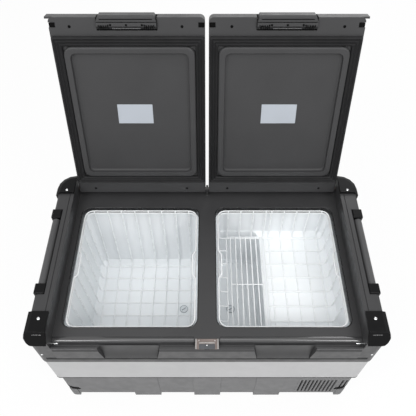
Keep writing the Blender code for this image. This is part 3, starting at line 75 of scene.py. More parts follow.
# Finishes, with sizes in metres and scales in repeats per metre
DRIFT_SCALE = 9
ROUGH_SCALE = 40
MOULD_DEPTH = 0.0003
MOULD_DETAIL = 3.0
# Edge paling: edges turn paler, partly as wear and partly as a painted edge highlight
WEAR_AND_HIGHLIGHT_FACING = (0.75, 0.99)
WEAR_AND_HIGHLIGHT_GAIN = 1.5
WEAR_AND_HIGHLIGHT_LIFT = 0.02
BEVEL_SAMPLES = 4
METAL_SPREAD = 0.1
METAL_SCALE = 60
METAL_GRAIN = 4
METAL_STRETCH = (6, 240, 240)
METAL_DETAIL = 4.0
METAL_BUMP = 0.15
METAL_DEPTH = 0.0002
METAL_EDGE = 0.0005
# Metal edges pale the same way: partly wear, partly a painted edge highlight
METAL_WEAR_AND_HIGHLIGHT = 0.3

# Stage: floor and world, and each lamp's name, place, aim, size and power
FLOOR_REACH = 12
FLOOR_GREY = 0.92
FLOOR_ROUGH = 0.9
FLOOR_GLOW = 0.93
WORLD_LIGHT = 0.52
WORLD_SEEN = 1.0
LAMPS = (
    ("left_lamp", (-1.2, -1.4, 2.4), (0, 0, 0.4), 1.0, 25),
    ("right_lamp", (1.2, -1.4, 2.4), (0, 0, 0.4), 1.0, 23),
    ("top_lamp", (0, -0.3, 3.0), (0, 0, 0.3), 1.6, 12),
    ("back_lamp", (0.8, 2.2, 1.8), (0, 0, 0.4), 1.4, 14),
)

# Lids, given shut and then turned open
OPEN_ANGLE = math.radians(106.5)
LID_UNDERSIDE = 0.429
PLUG_FLOOR = 0.4295
STRIP_HOLE_X = (0.0595, 0.3285)
STRIP_HOLE_Y = (-0.2402, 0.2250)
STRIP_HOLE_RADIUS = 0.0036
LABEL_X = (0.144, 0.237)
LABEL_Y = (-0.0400, 0.0148)
LABEL_THICKNESS = 0.0004

# Screws and recesses, with profiles as (radius, height) shares of the radius
SCREW_PROFILE = ((1, -0.15), (1, 0.12), (0.82, 0.34), (0.42, 0.45), (0.36, 0.40), (0.34, 0.15))
RECESS_PROFILE = ((1, -0.3), (1, 0.06), (0.8, 0.08))
GUARD_SCREW_RADIUS = 0.0042
GUARD_SCREW_X = 0.403
GUARD_SCREW_Y = (-0.1985, 0.1955)
CORNER_SCREW_RADIUS = 0.0032
CORNER_SCREW = (0.4125, -0.249, 0.375)

# Lock plate: cheeks, pressed band, hook recess and ball, measured from the plate's edges
PLATE_CHEEK = 0.0045
PLATE_RISE = 0.0028
PLATE_BAND = (0.0135, 0.0175)
HOOK_INSET = 0.0095
HOOK_DEPTH = 0.0125
BALL_RADIUS = 0.0026
BALL_BACK = 0.0095
PLATE_SCREW = 0.0020

# Lips round both openings of the deck, as (inset, height) pairs
OPENING = (0.024, 0.366, -0.195, 0.178)
OPENING_CORNER = 0.025
LIP_PROFILE = (
    (-0.0016, 0.4168),
    (-0.0011, 0.4176),
    (-0.0003, 0.4179),
    (0.0005, 0.4176),
    (0.0011, 0.4168),
    (0.0012, 0.3945),
    (0.0002, 0.3945),
    (0.0002, 0.4118),
)

# Rounded edge of the front trough, as (Y, Z) pairs
TROUGH_EDGE = (
    (-0.2180, 0.4166),
    (-0.2205, 0.4178),
    (-0.2240, 0.4187),
    (-0.2270, 0.4187),
    (-0.2298, 0.4178),
    (-0.2322, 0.4158),
    (-0.2338, 0.4130),
    (-0.2300, 0.4120),
)
TROUGH_SPAN = (0.032, 0.3815)
PIN_X = (0.366, 0.3835)
PIN_PLACE = (-0.2345, 0.4125)
PIN_RADIUS = 0.0021

# Finger scoops under the latches, as (Y, Z) pairs of the swept face
SCOOP_SWEEP = (
    (-0.2394, 0.4150),
    (-0.2402, 0.4150),
    (-0.2410, 0.4000),
    (-0.2430, 0.3850),
    (-0.2466, 0.3710),
    (-0.2505, 0.3600),
    (-0.2505, 0.3570),
    (-0.2394, 0.3570),
)
LATCH_MIDDLE = 0.19125
SCOOP_HALF = (0.0655, 0.0755)
SCOOP_HEIGHTS = (0.356, 0.417)

# Painted shadows: dark strips for the shade under the front rim, and over the front feet as (X, Y, low Z, high Z)
RIM_SHADOW = ((-0.4085, -0.2493, 0.3412), (0.4085, -0.2487, 0.3530))
FOOT_SHADOW = (
    (0.3830, -0.2404, 0.0580, 0.0620),
    (0.3870, -0.2404, 0.0550, 0.0740),
    (0.4000, -0.2404, 0.0590, 0.0800),
    (0.4075, -0.2404, 0.0640, 0.0860),
    (0.4126, -0.2394, 0.0700, 0.0920),
    (0.4170, -0.2365, 0.0790, 0.0990),
    (0.4199, -0.2321, 0.0900, 0.1060),
    (0.4208, -0.2280, 0.1000, 0.1080),
)

# Painted shadow line round the band's lower edge, as (inset, height) pairs, and the band's corners
BAND_SHADOW_PROFILE = (
    (-0.0003, 0.0080),
    (-0.0003, 0.0038),
    (0.0009, 0.0010),
    (0.0036, -0.0003),
    (0.0036, 0.0080),
)
BAND_CORNERS = (0.0424, 0.0134)

# Embossed line on the front guards
CREASE_X = (0.390, 0.4135)
CREASE_PLACE = (-0.2372, 0.4728)
CREASE_RADIUS = 0.0011

# Rear strip cover and latch details, given with the lids shut
COVER_X = (0.0075, 0.3755)
COVER_Y = (0.2045, 0.2382)
COVER_UNDERSIDE = 0.4256
LATCH_UNDERSIDE = 0.420
LATCH_HOLES = (-0.0375, 0.0, 0.0375)
LATCH_HOLE_Y = -0.2462
LATCH_HOLE_RADIUS = 0.0027
RIB_COUNT = 5
RIB_X = (0.0435, 0.0625)
RIB_Y = (-0.2450, -0.2362)
RIB_HALF = 0.0011
LATCH_BAR_HALF = 0.034
LATCH_BAR_PLACE = (-0.2385, 0.4200)
LATCH_BAR_RADIUS = 0.0014
LATCH_LINE = (-0.2602, -0.2582)
LATCH_LINE_HALF = 0.0625
# Nicks in the lid strips, drawn as dark sheets of painted shade
NICK_SPANS = ((0.0060, 0.0205), (0.3620, 0.3765))
NICK_Y = (-0.2495, -0.2385)

# Drain plug's grip as (half length, half width, height), and its slant
DRAIN_GRIP = (0.0075, 0.0012, 0.0022)
DRAIN_TURN = math.radians(35)

# Wire baskets, inside the space of their solids
WIRE_RADIUS = 0.0018
WIRE_BEND = 0.015
RIM_TOP = 0.4085
RIM_LOW = 0.3995
RIM_CORNER = 0.026
RIM_SIDES = (0.0310, 0.3580, -0.1895, 0.1718)
LOW_RIM_SIDES = (0.0318, 0.3570, -0.1885, 0.1708)
GRIP_Y = -0.0085
GRIP_HALF = (0.0415, 0.0325)
GRIP_BUMP = 0.009
GRIP_BEND = 0.006
WIRE_LAP = 0.003
LEFT_FLOOR = (0.0403, 0.3497, -0.1787, 0.1617, 0.1212)
RIGHT_FLOOR = (0.0347, 0.3553, -0.1843, 0.1673, 0.2862)
WIRE_MARGIN = 0.0145
WINDOW = (0.0597, 0.1782, -0.1763, 0.1593)
WINDOW_CORNER = WIRE_RADIUS * 4
LADDER_X = 0.1922
RACK_Z = 0.2899
RACK_Y = (-0.1693, 0.1523)
RACK_X = (0.0717, 0.1662)
WIRE_COUNT = 8
RIGHT_COUNT = 5
WELL_COUNT = 4
RACK_COUNT = 7


def linear(code):
    """An sRGB hex colour as linear red, green and blue."""
    parts = [int(code[i : i + 2], 16) / 255 for i in (0, 2, 4)]
    return tuple(p / 12.92 if p <= 0.04045 else ((p + 0.055) / 1.055) ** 2.4 for p in parts)


class Finish:
    """A procedural material under construction."""

    def __init__(self, name):
        self.material = bpy.data.materials.new(name)
        self.material.use_nodes = True
        self.tree = self.material.node_tree
        self.shader = self.tree.nodes["Principled BSDF"]
        self.place = self.node("ShaderNodeTexCoord").outputs["Object"]

    def node(self, kind, **settings):
        """A new node with its settings."""
        made = self.tree.nodes.new(kind)
        for key, value in settings.items():
            setattr(made, key, value)
        return made

    def link(self, start, end):
        """A link from an output to an input."""
        self.tree.links.new(start, end)

    def noise(self, scale, detail=2.0, stretch=(1, 1, 1)):
        """A noise texture at a scale, in repeats per metre."""
        mapping = self.node("ShaderNodeMapping")
        mapping.inputs["Scale"].default_value = stretch
        self.link(self.place, mapping.inputs["Vector"])
        texture = self.node("ShaderNodeTexNoise")
        texture.inputs["Scale"].default_value = scale
        texture.inputs["Detail"].default_value = detail
        self.link(mapping.outputs["Vector"], texture.inputs["Vector"])
        return texture.outputs["Fac"]

    def span(self, value, low, high, start=0.3, end=0.7):
        """Stretch a value from one range to another."""
        ranged = self.node("ShaderNodeMapRange")
        ranged.inputs["From Min"].default_value = start
        ranged.inputs["From Max"].default_value = end
        ranged.inputs["To Min"].default_value = low
        ranged.inputs["To Max"].default_value = high
        self.link(value, ranged.inputs["Value"])
        return ranged.outputs["Result"]

    def blend(self, factor, first, second):
        """A colour between two colours, each a tuple or a socket."""
        mix = self.node("ShaderNodeMix", data_type="RGBA")
        self.link(factor, mix.inputs["Factor"])
        for socket, colour in ((mix.inputs["A"], first), (mix.inputs["B"], second)):
            if isinstance(colour, tuple):
                socket.default_value = (*colour, 1)
            else:
                self.link(colour, socket)
        return mix.outputs["Result"]

    def surface(self, code, spread, scale, grain, strength, depth, edge, wear_and_highlight, stretch=(1, 1, 1)):
        """Colour that drifts, and pales along edges as partly wear and partly a painted highlight, over a moulded
        grain.
        """
        base = linear(code)
        dark = tuple(c * (1 - spread) for c in base)
        light = tuple(min(1, c * (1 + spread)) for c in base)
        drift = self.blend(self.span(self.noise(scale), 0, 1), dark, light)
        bevel = self.node("ShaderNodeBevel", samples=BEVEL_SAMPLES)
        bevel.inputs["Radius"].default_value = edge
        facing = self.node("ShaderNodeVectorMath", operation="DOT_PRODUCT")
        self.link(bevel.outputs["Normal"], facing.inputs[0])
        self.link(self.node("ShaderNodeNewGeometry").outputs["Normal"], facing.inputs[1])
        # Paler edges: partly wear, partly a painted highlight
        wear_and_highlight_mask = self.span(facing.outputs["Value"], wear_and_highlight, 0, *WEAR_AND_HIGHLIGHT_FACING)
        worn_and_lit = tuple(min(1, c * WEAR_AND_HIGHLIGHT_GAIN + WEAR_AND_HIGHLIGHT_LIFT) for c in base)
        self.link(self.blend(wear_and_highlight_mask, drift, worn_and_lit), self.shader.inputs["Base Color"])
        bump = self.node("ShaderNodeBump")
        bump.inputs["Strength"].default_value = strength
        bump.inputs["Distance"].default_value = depth
        self.link(self.noise(grain, MOULD_DETAIL, stretch), bump.inputs["Height"])
        self.link(bevel.outputs["Normal"], bump.inputs["Normal"])
        self.link(bump.outputs["Normal"], self.shader.inputs["Normal"])


def plastic(
    name,
    code,
    rough,
    spread=0.06,
    grain=900,
    strength=0.25,
    edge=0.0012,
    wear_and_highlight=0.35,
    shine=0.35,
):
    """Moulded plastic with a fine texture."""
    finish = Finish(name)
    finish.surface(code, spread, DRIFT_SCALE, grain, strength, MOULD_DEPTH, edge, wear_and_highlight)
    finish.link(finish.span(finish.noise(ROUGH_SCALE), *rough), finish.shader.inputs["Roughness"])
    finish.shader.inputs["Specular IOR Level"].default_value = shine
    return finish.material


def metal(name, code, rough, stretch=METAL_STRETCH):
    """Brushed metal, with its grain along one axis."""
    finish = Finish(name)
    finish.surface(
        code,
        METAL_SPREAD,
        METAL_SCALE,
        METAL_GRAIN,
        METAL_BUMP,
        METAL_DEPTH,
        METAL_EDGE,
        METAL_WEAR_AND_HIGHLIGHT,
        stretch,
    )
    finish.shader.inputs["Metallic"].default_value = 1.0
    streaks = finish.noise(METAL_GRAIN, METAL_DETAIL, stretch)
    finish.link(finish.span(streaks, *rough), finish.shader.inputs["Roughness"])
    return finish.material


FRAME = plastic("frame_finish", "39393a", (0.30, 0.42))
LID = plastic("lid_finish", "3b3b3c", (0.38, 0.50))
BAND = plastic("band_finish", "bbbbbc", (0.42, 0.55), 0.03)
CASE = plastic("case_finish", "737374", (0.5, 0.65), 0.05, 700, 0.4)
# The guard's strong edge paling is partly wear and partly a painted highlight along its crease and edges
GUARD = plastic("guard_finish", "070708", (0.30, 0.42), 0.1, wear_and_highlight=0.6, shine=0.15)
SEAL = plastic("seal_finish", "242425", (0.55, 0.75), 0.12, 300, 0.2, wear_and_highlight=0.2, shine=0.2)
GLOSS = plastic("gloss_finish", "39393a", (0.12, 0.20), 0.06, 300, 0.02, wear_and_highlight=0.0, shine=0.8)
# Throat colour: a dark throat wall, made near black as painted shade inside the openings
THROAT = plastic("throat_finish", "161617", (0.2, 0.3), 0.06, 300, 0.02, wear_and_highlight=0.0, shine=0.5)
HANDLE = plastic("handle_finish", "4c4c4d", (0.36, 0.48))
LINER = plastic("liner_finish", "f5f8fa", (0.3, 0.45), 0.02, 120, 0.03, wear_and_highlight=0.0)
PLUG = plastic("plug_finish", "e0e4e7", (0.3, 0.45), 0.03, 120, 0.05, wear_and_highlight=0.0)
GRIP = plastic("grip_finish", "9ba2a7", (0.3, 0.45), 0.03, 120, 0.05, wear_and_highlight=0.0)
WIRE = plastic("wire_finish", "f8fafb", (0.2, 0.35), 0.02, 300, 0.05, 0.0004, 0.0)
FOAM = plastic("foam_finish", "d8c79a", (0.8, 0.95), 0.08, 260, 0.6)
DISPLAY = plastic("display_finish", "0e1013", (0.06, 0.12), 0.1, 300, 0.02)
LABEL = plastic("label_finish", "b3b9c1", (0.3, 0.42), 0.03, 120, 0.06, 0.0002, 0.0)
# Near black painted shade, standing for the shade inside holes, grooves, nicks and gaps
PAINTED_SHADE = plastic("painted_shade_finish", "050505", (0.7, 0.9), 0.1, wear_and_highlight=0.0, shine=0.1)
STEEL = metal("steel_finish", "7b716d", (0.36, 0.52))
PLATE = metal("plate_finish", "aaa6a4", (0.3, 0.45))
# Dark metal colour painted as the shade inside the lock plate's hook recess
HOOK_SHADE = metal("hook_shade_finish", "55575a", (0.3, 0.5))
SCREW = metal("screw_finish", "cfd0d1", (0.12, 0.25), (60, 60, 60))
ALUMINIUM = metal("aluminium_finish", "6e6f72", (0.45, 0.6))
POT = plastic("compressor_finish", "19191a", (0.25, 0.4), 0.1, 200, 0.1)

finishes = {
    "frame_plastic": FRAME,
    "lid_plastic": LID,
    "band_plastic": BAND,
    "case_plastic": CASE,
    "guard_plastic": GUARD,
    "seal_rubber": SEAL,
    "liner_plastic": LINER,
    "coated_wire": WIRE,
    "stainless_steel": STEEL,
    "pu_foam": FOAM,
    "bare_aluminium": ALUMINIUM,
    "compressor_paint": POT,
    "display_plastic": DISPLAY,
}
for entry in frame["record"]["subparts"]:
    mesh = nodes[entry["node"]].data
    mesh.materials.clear()
    mesh.materials.append(finishes[entry["material_slot"]])
    mesh.shade_smooth()
    mesh.set_sharp_from_angle(angle=CAD_SHARP)
for side in SIDES:
    nodes[f"{side}_handle"].data.materials[0] = HANDLE


def spread(count, low, high):
    """Evenly spaced values from low to high."""
    return [low + (high - low) * i / (count - 1) for i in range(count)]


def angles(count):
    """Evenly spaced angles round a full turn."""
    return [2 * math.pi * i / count for i in range(count)]


def lid_turns(side):
    """A shut lid's turn to its open place, the same with heights flipped, and its underside's normal."""
    hinge = Vector(joints[f"{side}_lid_hinge"]["pos_m"])
    swing = Matrix.Rotation(-OPEN_ANGLE, 4, "X")
    turn = Matrix.Translation(hinge) @ swing @ Matrix.Translation(-hinge)
    flip = turn @ Matrix.Diagonal((1, 1, -1, 1))
    down = turn.to_3x3() @ Vector((0, 0, -1))
    return turn, flip, down


def add_mesh(name, shape, material, body):
    """A finished bmesh as a piece that rides on a body."""
    bmesh.ops.recalc_face_normals(shape, faces=shape.faces)
    mesh = bpy.data.meshes.new(name)
    shape.to_mesh(mesh)
    shape.free()
    mesh.materials.append(material)
    mesh.shade_smooth()
    mesh.set_sharp_from_angle(angle=SCENE_SHARP)
    piece = bpy.data.objects.new(name, mesh)
    scene.collection.objects.link(piece)
    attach(piece, body)
    return piece


def skin(shape, rows, closed=False):
    """Faces between rows of points, with flat ends unless the rows close on themselves."""
    rows = [[shape.verts.new(point) for point in row] for row in rows]
    pairs = list(zip(rows, rows[1:]))
    if closed:
        pairs.append((rows[-1], rows[0]))
    for low, high in pairs:
        for i in range(len(low)):
            j = (i + 1) % len(low)
            shape.faces.new((low[i], low[j], high[j], high[i]))
    if not closed:
        shape.faces.new(rows[0])
        shape.faces.new(rows[-1])


def ring(place, radius, height, sides):
    """Points round a circle, at a height in the axes of a place."""
    turns = angles(sides)
    return [place @ Vector((radius * math.cos(t), radius * math.sin(t), height)) for t in turns]


def lathe(shape, profile, place, normal):
    """A turned form: profile is (radius, height) pairs along a normal from a place."""
    aim = Vector(normal).to_track_quat("Z", "Y").to_matrix().to_4x4()
    aim.translation = Vector(place)
    skin(shape, [ring(aim, radius, height, TURNED_SIDES) for radius, height in profile])


def slab(shape, low, high, chamfer, turn=None):
    """A box with its upper edges chamfered, turned if asked."""
    (x0, y0, z0), (x1, y1, z1) = low, high
    rows = []
    for inset, z in ((0, z0), (0, z1 - chamfer), (chamfer, z1)):
        xs = (x0 + inset, x1 - inset)
        ys = (y0 + inset, y1 - inset)
        row = [(xs[0], ys[0], z), (xs[1], ys[0], z), (xs[1], ys[1], z), (xs[0], ys[1], z)]
        rows.append([turn @ Vector(p) if turn else Vector(p) for p in row])
    skin(shape, rows)


def screw_head(shape, place, normal, radius):
    """A domed screw head with a round drive recess."""
    lathe(shape, [(radius * r, radius * h) for r, h in SCREW_PROFILE], place, normal)


def recess(shape, place, normal, radius):
    """A flat dark disc with a thin rim, standing for a screw recess: its dark colour is painted shade."""
    lathe(shape, [(radius * r, radius * h) for r, h in RECESS_PROFILE], place, normal)


def fillet(points, cuts, closed=False):
    """Round the corners of a path; cuts gives how far from each corner its curve starts."""
    points = [Vector(p) for p in points]
    last = len(points) - 1
    path = []
    for i, (point, cut) in enumerate(zip(points, cuts)):
        if not closed and i in (0, last):
            path.append(point)
            continue
        before = (points[i - 1] - point).normalized() * cut
        after = (points[(i + 1) % len(points)] - point).normalized() * cut
        for step in range(BEND_STEPS + 1):
            t = step / BEND_STEPS
            path.append(point + before * (1 - t) ** 2 + after * t**2)
    return path


def wire(shape, path, normal, closed=False):
    """A round wire along a flat path; normal is square to the path's plane."""
    normal = Vector(normal)
    last = len(path) - 1
    turns = angles(WIRE_SIDES)
    rows = []
    for i, point in enumerate(path):
        after = path[(i + 1) % len(path)] if closed or i < last else point
        before = path[i - 1] if closed or i > 0 else point
        across = normal.cross(after - before).normalized()
        row = []
        for turn in turns:
            row.append(point + WIRE_RADIUS * (normal * math.cos(turn) + across * math.sin(turn)))
        rows.append(row)
    skin(shape, rows, closed)


def rim(shape, sign, sides, z, bump):
    """A basket's rim wire, bent in at both sides where hands lift the basket."""
    x_in, x_out, y_front, y_back = sides
    points = [(x_out, y_front), (x_out, y_back), (x_in, y_back), (x_in, y_front)]
    cuts = [RIM_CORNER] * 4
    if bump:
        far, near = GRIP_HALF
        inner = [(x_in, far), (x_in + bump, near), (x_in + bump, -near), (x_in, -far)]
        outer = [(x_out, -far), (x_out - bump, -near), (x_out - bump, near), (x_out, far)]
        points[3:3] = [(x, GRIP_Y + y) for x, y in inner]
        points[1:1] = [(x, GRIP_Y + y) for x, y in outer]
        cuts[3:3] = [GRIP_BEND] * 4
        cuts[1:1] = [GRIP_BEND] * 4
    path = fillet([(sign * x, y, z) for x, y in points], cuts, True)
    wire(shape, path, (0, 0, 1), True)


def basket_rims(shape, sign):
    """The upper rim wire of a basket, with its grips, and the plain one below."""
    rim(shape, sign, RIM_SIDES, RIM_TOP, GRIP_BUMP)
    rim(shape, sign, LOW_RIM_SIDES, RIM_LOW, 0)


def trough(shape, ends, floor, place, normal):
    """A wire down one wall, across the floor and up the other wall."""
    (low_rim, low_z, low_wall), (high_rim, high_z, high_wall) = ends
    points = [(low_rim, low_z), (low_wall, floor), (high_wall, floor), (high_rim, high_z)]
    path = fillet([place(u, z) for u, z in points], [0, WIRE_BEND, WIRE_BEND, 0])
    wire(shape, path, normal)


def make_left_basket():
    """The deep left basket, with wires both ways."""
    x_in, x_out, y_front, y_back, floor = LEFT_FLOOR
    shape = bmesh.new()
    basket_rims(shape, -1)
    ends = ((RIM_SIDES[2], RIM_TOP, y_front), (RIM_SIDES[3], RIM_TOP, y_back))
    for x in spread(WIRE_COUNT, x_in + WIRE_MARGIN, x_out - WIRE_MARGIN):
        trough(shape, ends, floor + WIRE_LAP, lambda y, z: (-x, y, z), (1, 0, 0))
    ends = ((LOW_RIM_SIDES[0], RIM_LOW, x_in), (LOW_RIM_SIDES[1], RIM_LOW, x_out))
    for y in spread(WIRE_COUNT, y_front + WIRE_MARGIN, y_back - WIRE_MARGIN):
        trough(shape, ends, floor, lambda x, z: (-x, y, z), (0, 1, 0))
    piece = add_mesh("left_round_basket", shape, WIRE, "left_wire_basket")
    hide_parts("left_basket")


def make_right_basket():
    """The shallow right basket, with a window over the well."""
    x_in, x_out, y_front, y_back, floor = RIGHT_FLOOR
    shape = bmesh.new()
    basket_rims(shape, 1)
    ends = ((RIM_SIDES[2], RIM_TOP, y_front), (RIM_SIDES[3], RIM_TOP, y_back))
    for x in spread(RIGHT_COUNT, LADDER_X, x_out - WIRE_MARGIN):
        trough(shape, ends, floor, lambda y, z: (x, y, z), (1, 0, 0))
    x_low, x_high, y_low, y_high = WINDOW
    corners = [(x_high, y_low), (x_high, y_high), (x_low, y_high), (x_low, y_low)]
    window = fillet([(x, y, floor) for x, y in corners], [WINDOW_CORNER] * 4, True)
    wire(shape, window, (0, 0, 1), True)
    bend = floor + WIRE_BEND
    for x in spread(WELL_COUNT, WINDOW[0] + WIRE_LAP, WINDOW[1] - WIRE_LAP):
        for (rim_y, rim_z, wall), edge in zip(ends, WINDOW[2:]):
            points = [(x, rim_y, rim_z), (x, wall, bend), (x, edge, floor)]
            wire(shape, fillet(points, [0, WIRE_BEND / 2, 0]), (1, 0, 0))
    lap = floor + WIRE_LAP
    for y in spread(WIRE_COUNT, y_front + WIRE_MARGIN, y_back - WIRE_MARGIN):
        for rim_x, wall, edge in (
            (LOW_RIM_SIDES[0], x_in, WINDOW[0]),
            (LOW_RIM_SIDES[1], x_out, WINDOW[1]),
        ):
            points = [(rim_x, y, RIM_LOW), (wall, y, lap), (edge, y, lap)]
            wire(shape, fillet(points, [0, WIRE_BEND, 0]), (0, 1, 0))
    piece = add_mesh("right_round_basket", shape, WIRE, "right_wire_basket")
    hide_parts("right_basket")


def make_rack():
    """The flat rack over the window of the right basket."""
    shape = bmesh.new()
    bars = [(RACK_Y[0], WINDOW[:2]), (sum(RACK_Y) / 2, RACK_X), (RACK_Y[1], WINDOW[:2])]
    for y, limits in bars:
        wire(shape, [Vector((x, y, RACK_Z)) for x in limits], (0, 1, 0))
    for x in spread(RACK_COUNT, *RACK_X):
        wire(shape, [Vector((x, y, RACK_Z + WIRE_LAP)) for y in RACK_Y], (1, 0, 0))
    piece = add_mesh("round_rack", shape, WIRE, "well_rack")
    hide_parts("basket_rack")


def rounded(x0, x1, y0, y1, back, fore=None):
    """A rounded rectangle as (x, y) points; fore is the radius at the low y end."""
    fore = back if fore is None else fore
    corners = [(x1, y1, 0, back), (x0, y1, 90, back), (x0, y0, 180, fore), (x1, y0, 270, fore)]
    points = []
    for x, y, start, radius in corners:
        centre_x = x + radius * (1 if x == x0 else -1)
        centre_y = y + radius * (1 if y == y0 else -1)
        for step in range(CORNER_STEPS + 1):
            angle = math.radians(start + 90 * step / CORNER_STEPS)
            points.append((centre_x + radius * math.cos(angle), centre_y + radius * math.sin(angle)))
    return points


def prism(shape, profile, x_low, x_high):
    """A (Y, Z) profile drawn out along X."""
    skin(shape, [[(x, y, z) for y, z in profile] for x in (x_low, x_high)])


def bar(shape, start, end, radius, turn=None):
    """A round bar with eased ends between two points."""
    start, end = (turn @ Vector(p) if turn else Vector(p) for p in (start, end))
    length = (end - start).length
    ease = radius / 3
    profile = [(radius - ease, 0), (radius, ease), (radius, length - ease), (radius - ease, length)]
    lathe(shape, profile, start, end - start)


def make_lips():
    """Rounded lips of the deck's openings, which hang down as dark throats; their near-black colour is partly
    painted shade.
    """
    x0, x1, y0, y1 = OPENING
    for side, sign in SIDES.items():
        shape = bmesh.new()
        rows = []
        for inset, z in LIP_PROFILE:
            limits = (x0 + inset, x1 - inset, y0 + inset, y1 - inset)
            rows.append([(sign * x, y, z) for x, y in rounded(*limits, OPENING_CORNER - inset)])
        skin(shape, rows, True)
        add_mesh(f"{side}_opening_lip", shape, THROAT, "cabinet")


def make_front_details():
    """Rounded edge of the trough, its pins, and the creases of the front guards."""
    edge, pins, creases = (bmesh.new() for _ in range(3))
    for sign in SIDES.values():
        prism(edge, TROUGH_EDGE, *(sign * x for x in TROUGH_SPAN))
        bar(pins, *((sign * x, *PIN_PLACE) for x in PIN_X), PIN_RADIUS)
        bar(creases, *((sign * x, *CREASE_PLACE) for x in CREASE_X), CREASE_RADIUS)
    add_mesh("trough_edge", edge, GLOSS, "cabinet")
    add_mesh("trough_pins", pins, SCREW, "cabinet")
    add_mesh("guard_creases", creases, GLOSS, "cabinet")


def make_scoop_sweeps():
    """Swept faces of the finger scoops, narrower at the foot."""
    shape = bmesh.new()
    foot, top = SCOOP_HEIGHTS
    for sign in SIDES.values():
        rows = []
        for end in (-1, 1):
            row = []
            for y, z in SCOOP_SWEEP:
                share = (z - foot) / (top - foot)
                half = SCOOP_HALF[0] + (SCOOP_HALF[1] - SCOOP_HALF[0]) * share
                row.append((sign * LATCH_MIDDLE + end * half, y, z))
            rows.append(row)
        skin(shape, rows)
    add_mesh("scoop_sweeps", shape, FRAME, "cabinet")


def make_foot_shadows():
    """Painted shadow over the front feet: dark strips that run round the corners."""
    shape = bmesh.new()
    for sign in SIDES.values():
        rows = []
        for x, y, low, high in FOOT_SHADOW:
            near, far = y - THIN_STEP, y + THIN_STEP
            corners = ((near, low), (near, high), (far, high), (far, low))
            rows.append([(sign * x, *corner) for corner in corners])
        skin(shape, rows)
    add_mesh("foot_shadows", shape, PAINTED_SHADE, "cabinet")


def make_body_shadow_lines():
    """Painted shadow lines: dark strips under the front rim and round the band's lower edge."""
    shape = bmesh.new()
    slab(shape, *RIM_SHADOW, THIN_STEP / 4)
    low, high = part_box("belt_band")
    rows = []
    for inset, rise in BAND_SHADOW_PROFILE:
        limits = (low.x + inset, high.x - inset, low.y + inset, high.y - inset)
        back, fore = (corner - inset for corner in BAND_CORNERS)
        rows.append([(x, y, low.z + rise) for x, y in rounded(*limits, back, fore)])
    skin(shape, rows, True)
    # The rubber's dark colour here is painted shadow
    add_mesh("body_shadow_lines", shape, SEAL, "cabinet")


def make_drain_grips():
    """A slanting grip and a raised ring on each drain plug."""
    half, width, height = DRAIN_GRIP
    for side in SIDES:
        low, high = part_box(f"{side}_drain_plug")
        place = Matrix.Translation(((low.x + high.x) / 2, (low.y + high.y) / 2, high.z))
        shape = bmesh.new()
        turn = place @ Matrix.Rotation(DRAIN_TURN, 4, "Z")
        slab(shape, (-half, -width, 0), (half, width, height), width / 2, turn)
        edge = (high.x - low.x) / 2
        inner, outer = edge - width, edge + THIN_STEP
        profile = ((inner, -width), (inner, width / 2), (outer, width / 2), (outer, -width))
        skin(shape, [ring(place, radius, z, RING_SIDES) for radius, z in profile], True)
        add_mesh(f"{side}_drain_grip", shape, GRIP, "cabinet")
        nodes[f"{side}_drain_plug"].data.materials[0] = PLUG


def make_screws():
    """Bright screws on the guards, and in the corners below the front ones."""
    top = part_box("front_left_guard")[1].z
    shape = bmesh.new()
    x, y, z = CORNER_SCREW
    for sign in SIDES.values():
        for along in GUARD_SCREW_Y:
            screw_head(shape, (sign * GUARD_SCREW_X, along, top), (0, 0, 1), GUARD_SCREW_RADIUS)
        screw_head(shape, (sign * x, y, z), (0, -1, 0), CORNER_SCREW_RADIUS)
    add_mesh("guard_screws", shape, SCREW, "cabinet")


def make_lock_details():
    """Cheeks, pressed band and screws on the lock plate, a dark sheet of painted shade for its hook recess, and
    the ball in that recess.
    """
    low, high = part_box("lock_plate")
    top = high.z
    raised = top + PLATE_RISE
    shape = bmesh.new()
    for x0, x1 in ((low.x, low.x + PLATE_CHEEK), (high.x - PLATE_CHEEK, high.x)):
        slab(shape, (x0, low.y, top), (x1, high.y, raised), PLATE_CHEEK / 4)
    band = [low.y + y for y in PLATE_BAND]
    ends = (low.x + HOOK_INSET, high.x - HOOK_INSET)
    slab(shape, (ends[0], band[0], top), (ends[1], band[1], raised), PLATE_RISE / 2)
    for x in ends:
        screw_head(shape, (x, high.y - PLATE_SCREW * 2, top), (0, 0, 1), PLATE_SCREW)
    add_mesh("lock_fittings", shape, PLATE, "cabinet")

    shape = bmesh.new()
    slab(shape, (ends[0], low.y, top), (ends[1], low.y + HOOK_DEPTH, top + THIN_STEP), THIN_STEP / 2)
    add_mesh("hook_recess_shade", shape, HOOK_SHADE, "cabinet")

    shape = bmesh.new()
    steps = [math.pi / 2 * i / BEND_STEPS for i in range(BEND_STEPS)]
    dome = [(BALL_RADIUS * math.cos(t), BALL_RADIUS * math.sin(t)) for t in steps]
    lathe(shape, dome, ((low.x + high.x) / 2, low.y + BALL_BACK, top), (0, 0, 1))
    add_mesh("lock_ball", shape, SCREW, "cabinet")


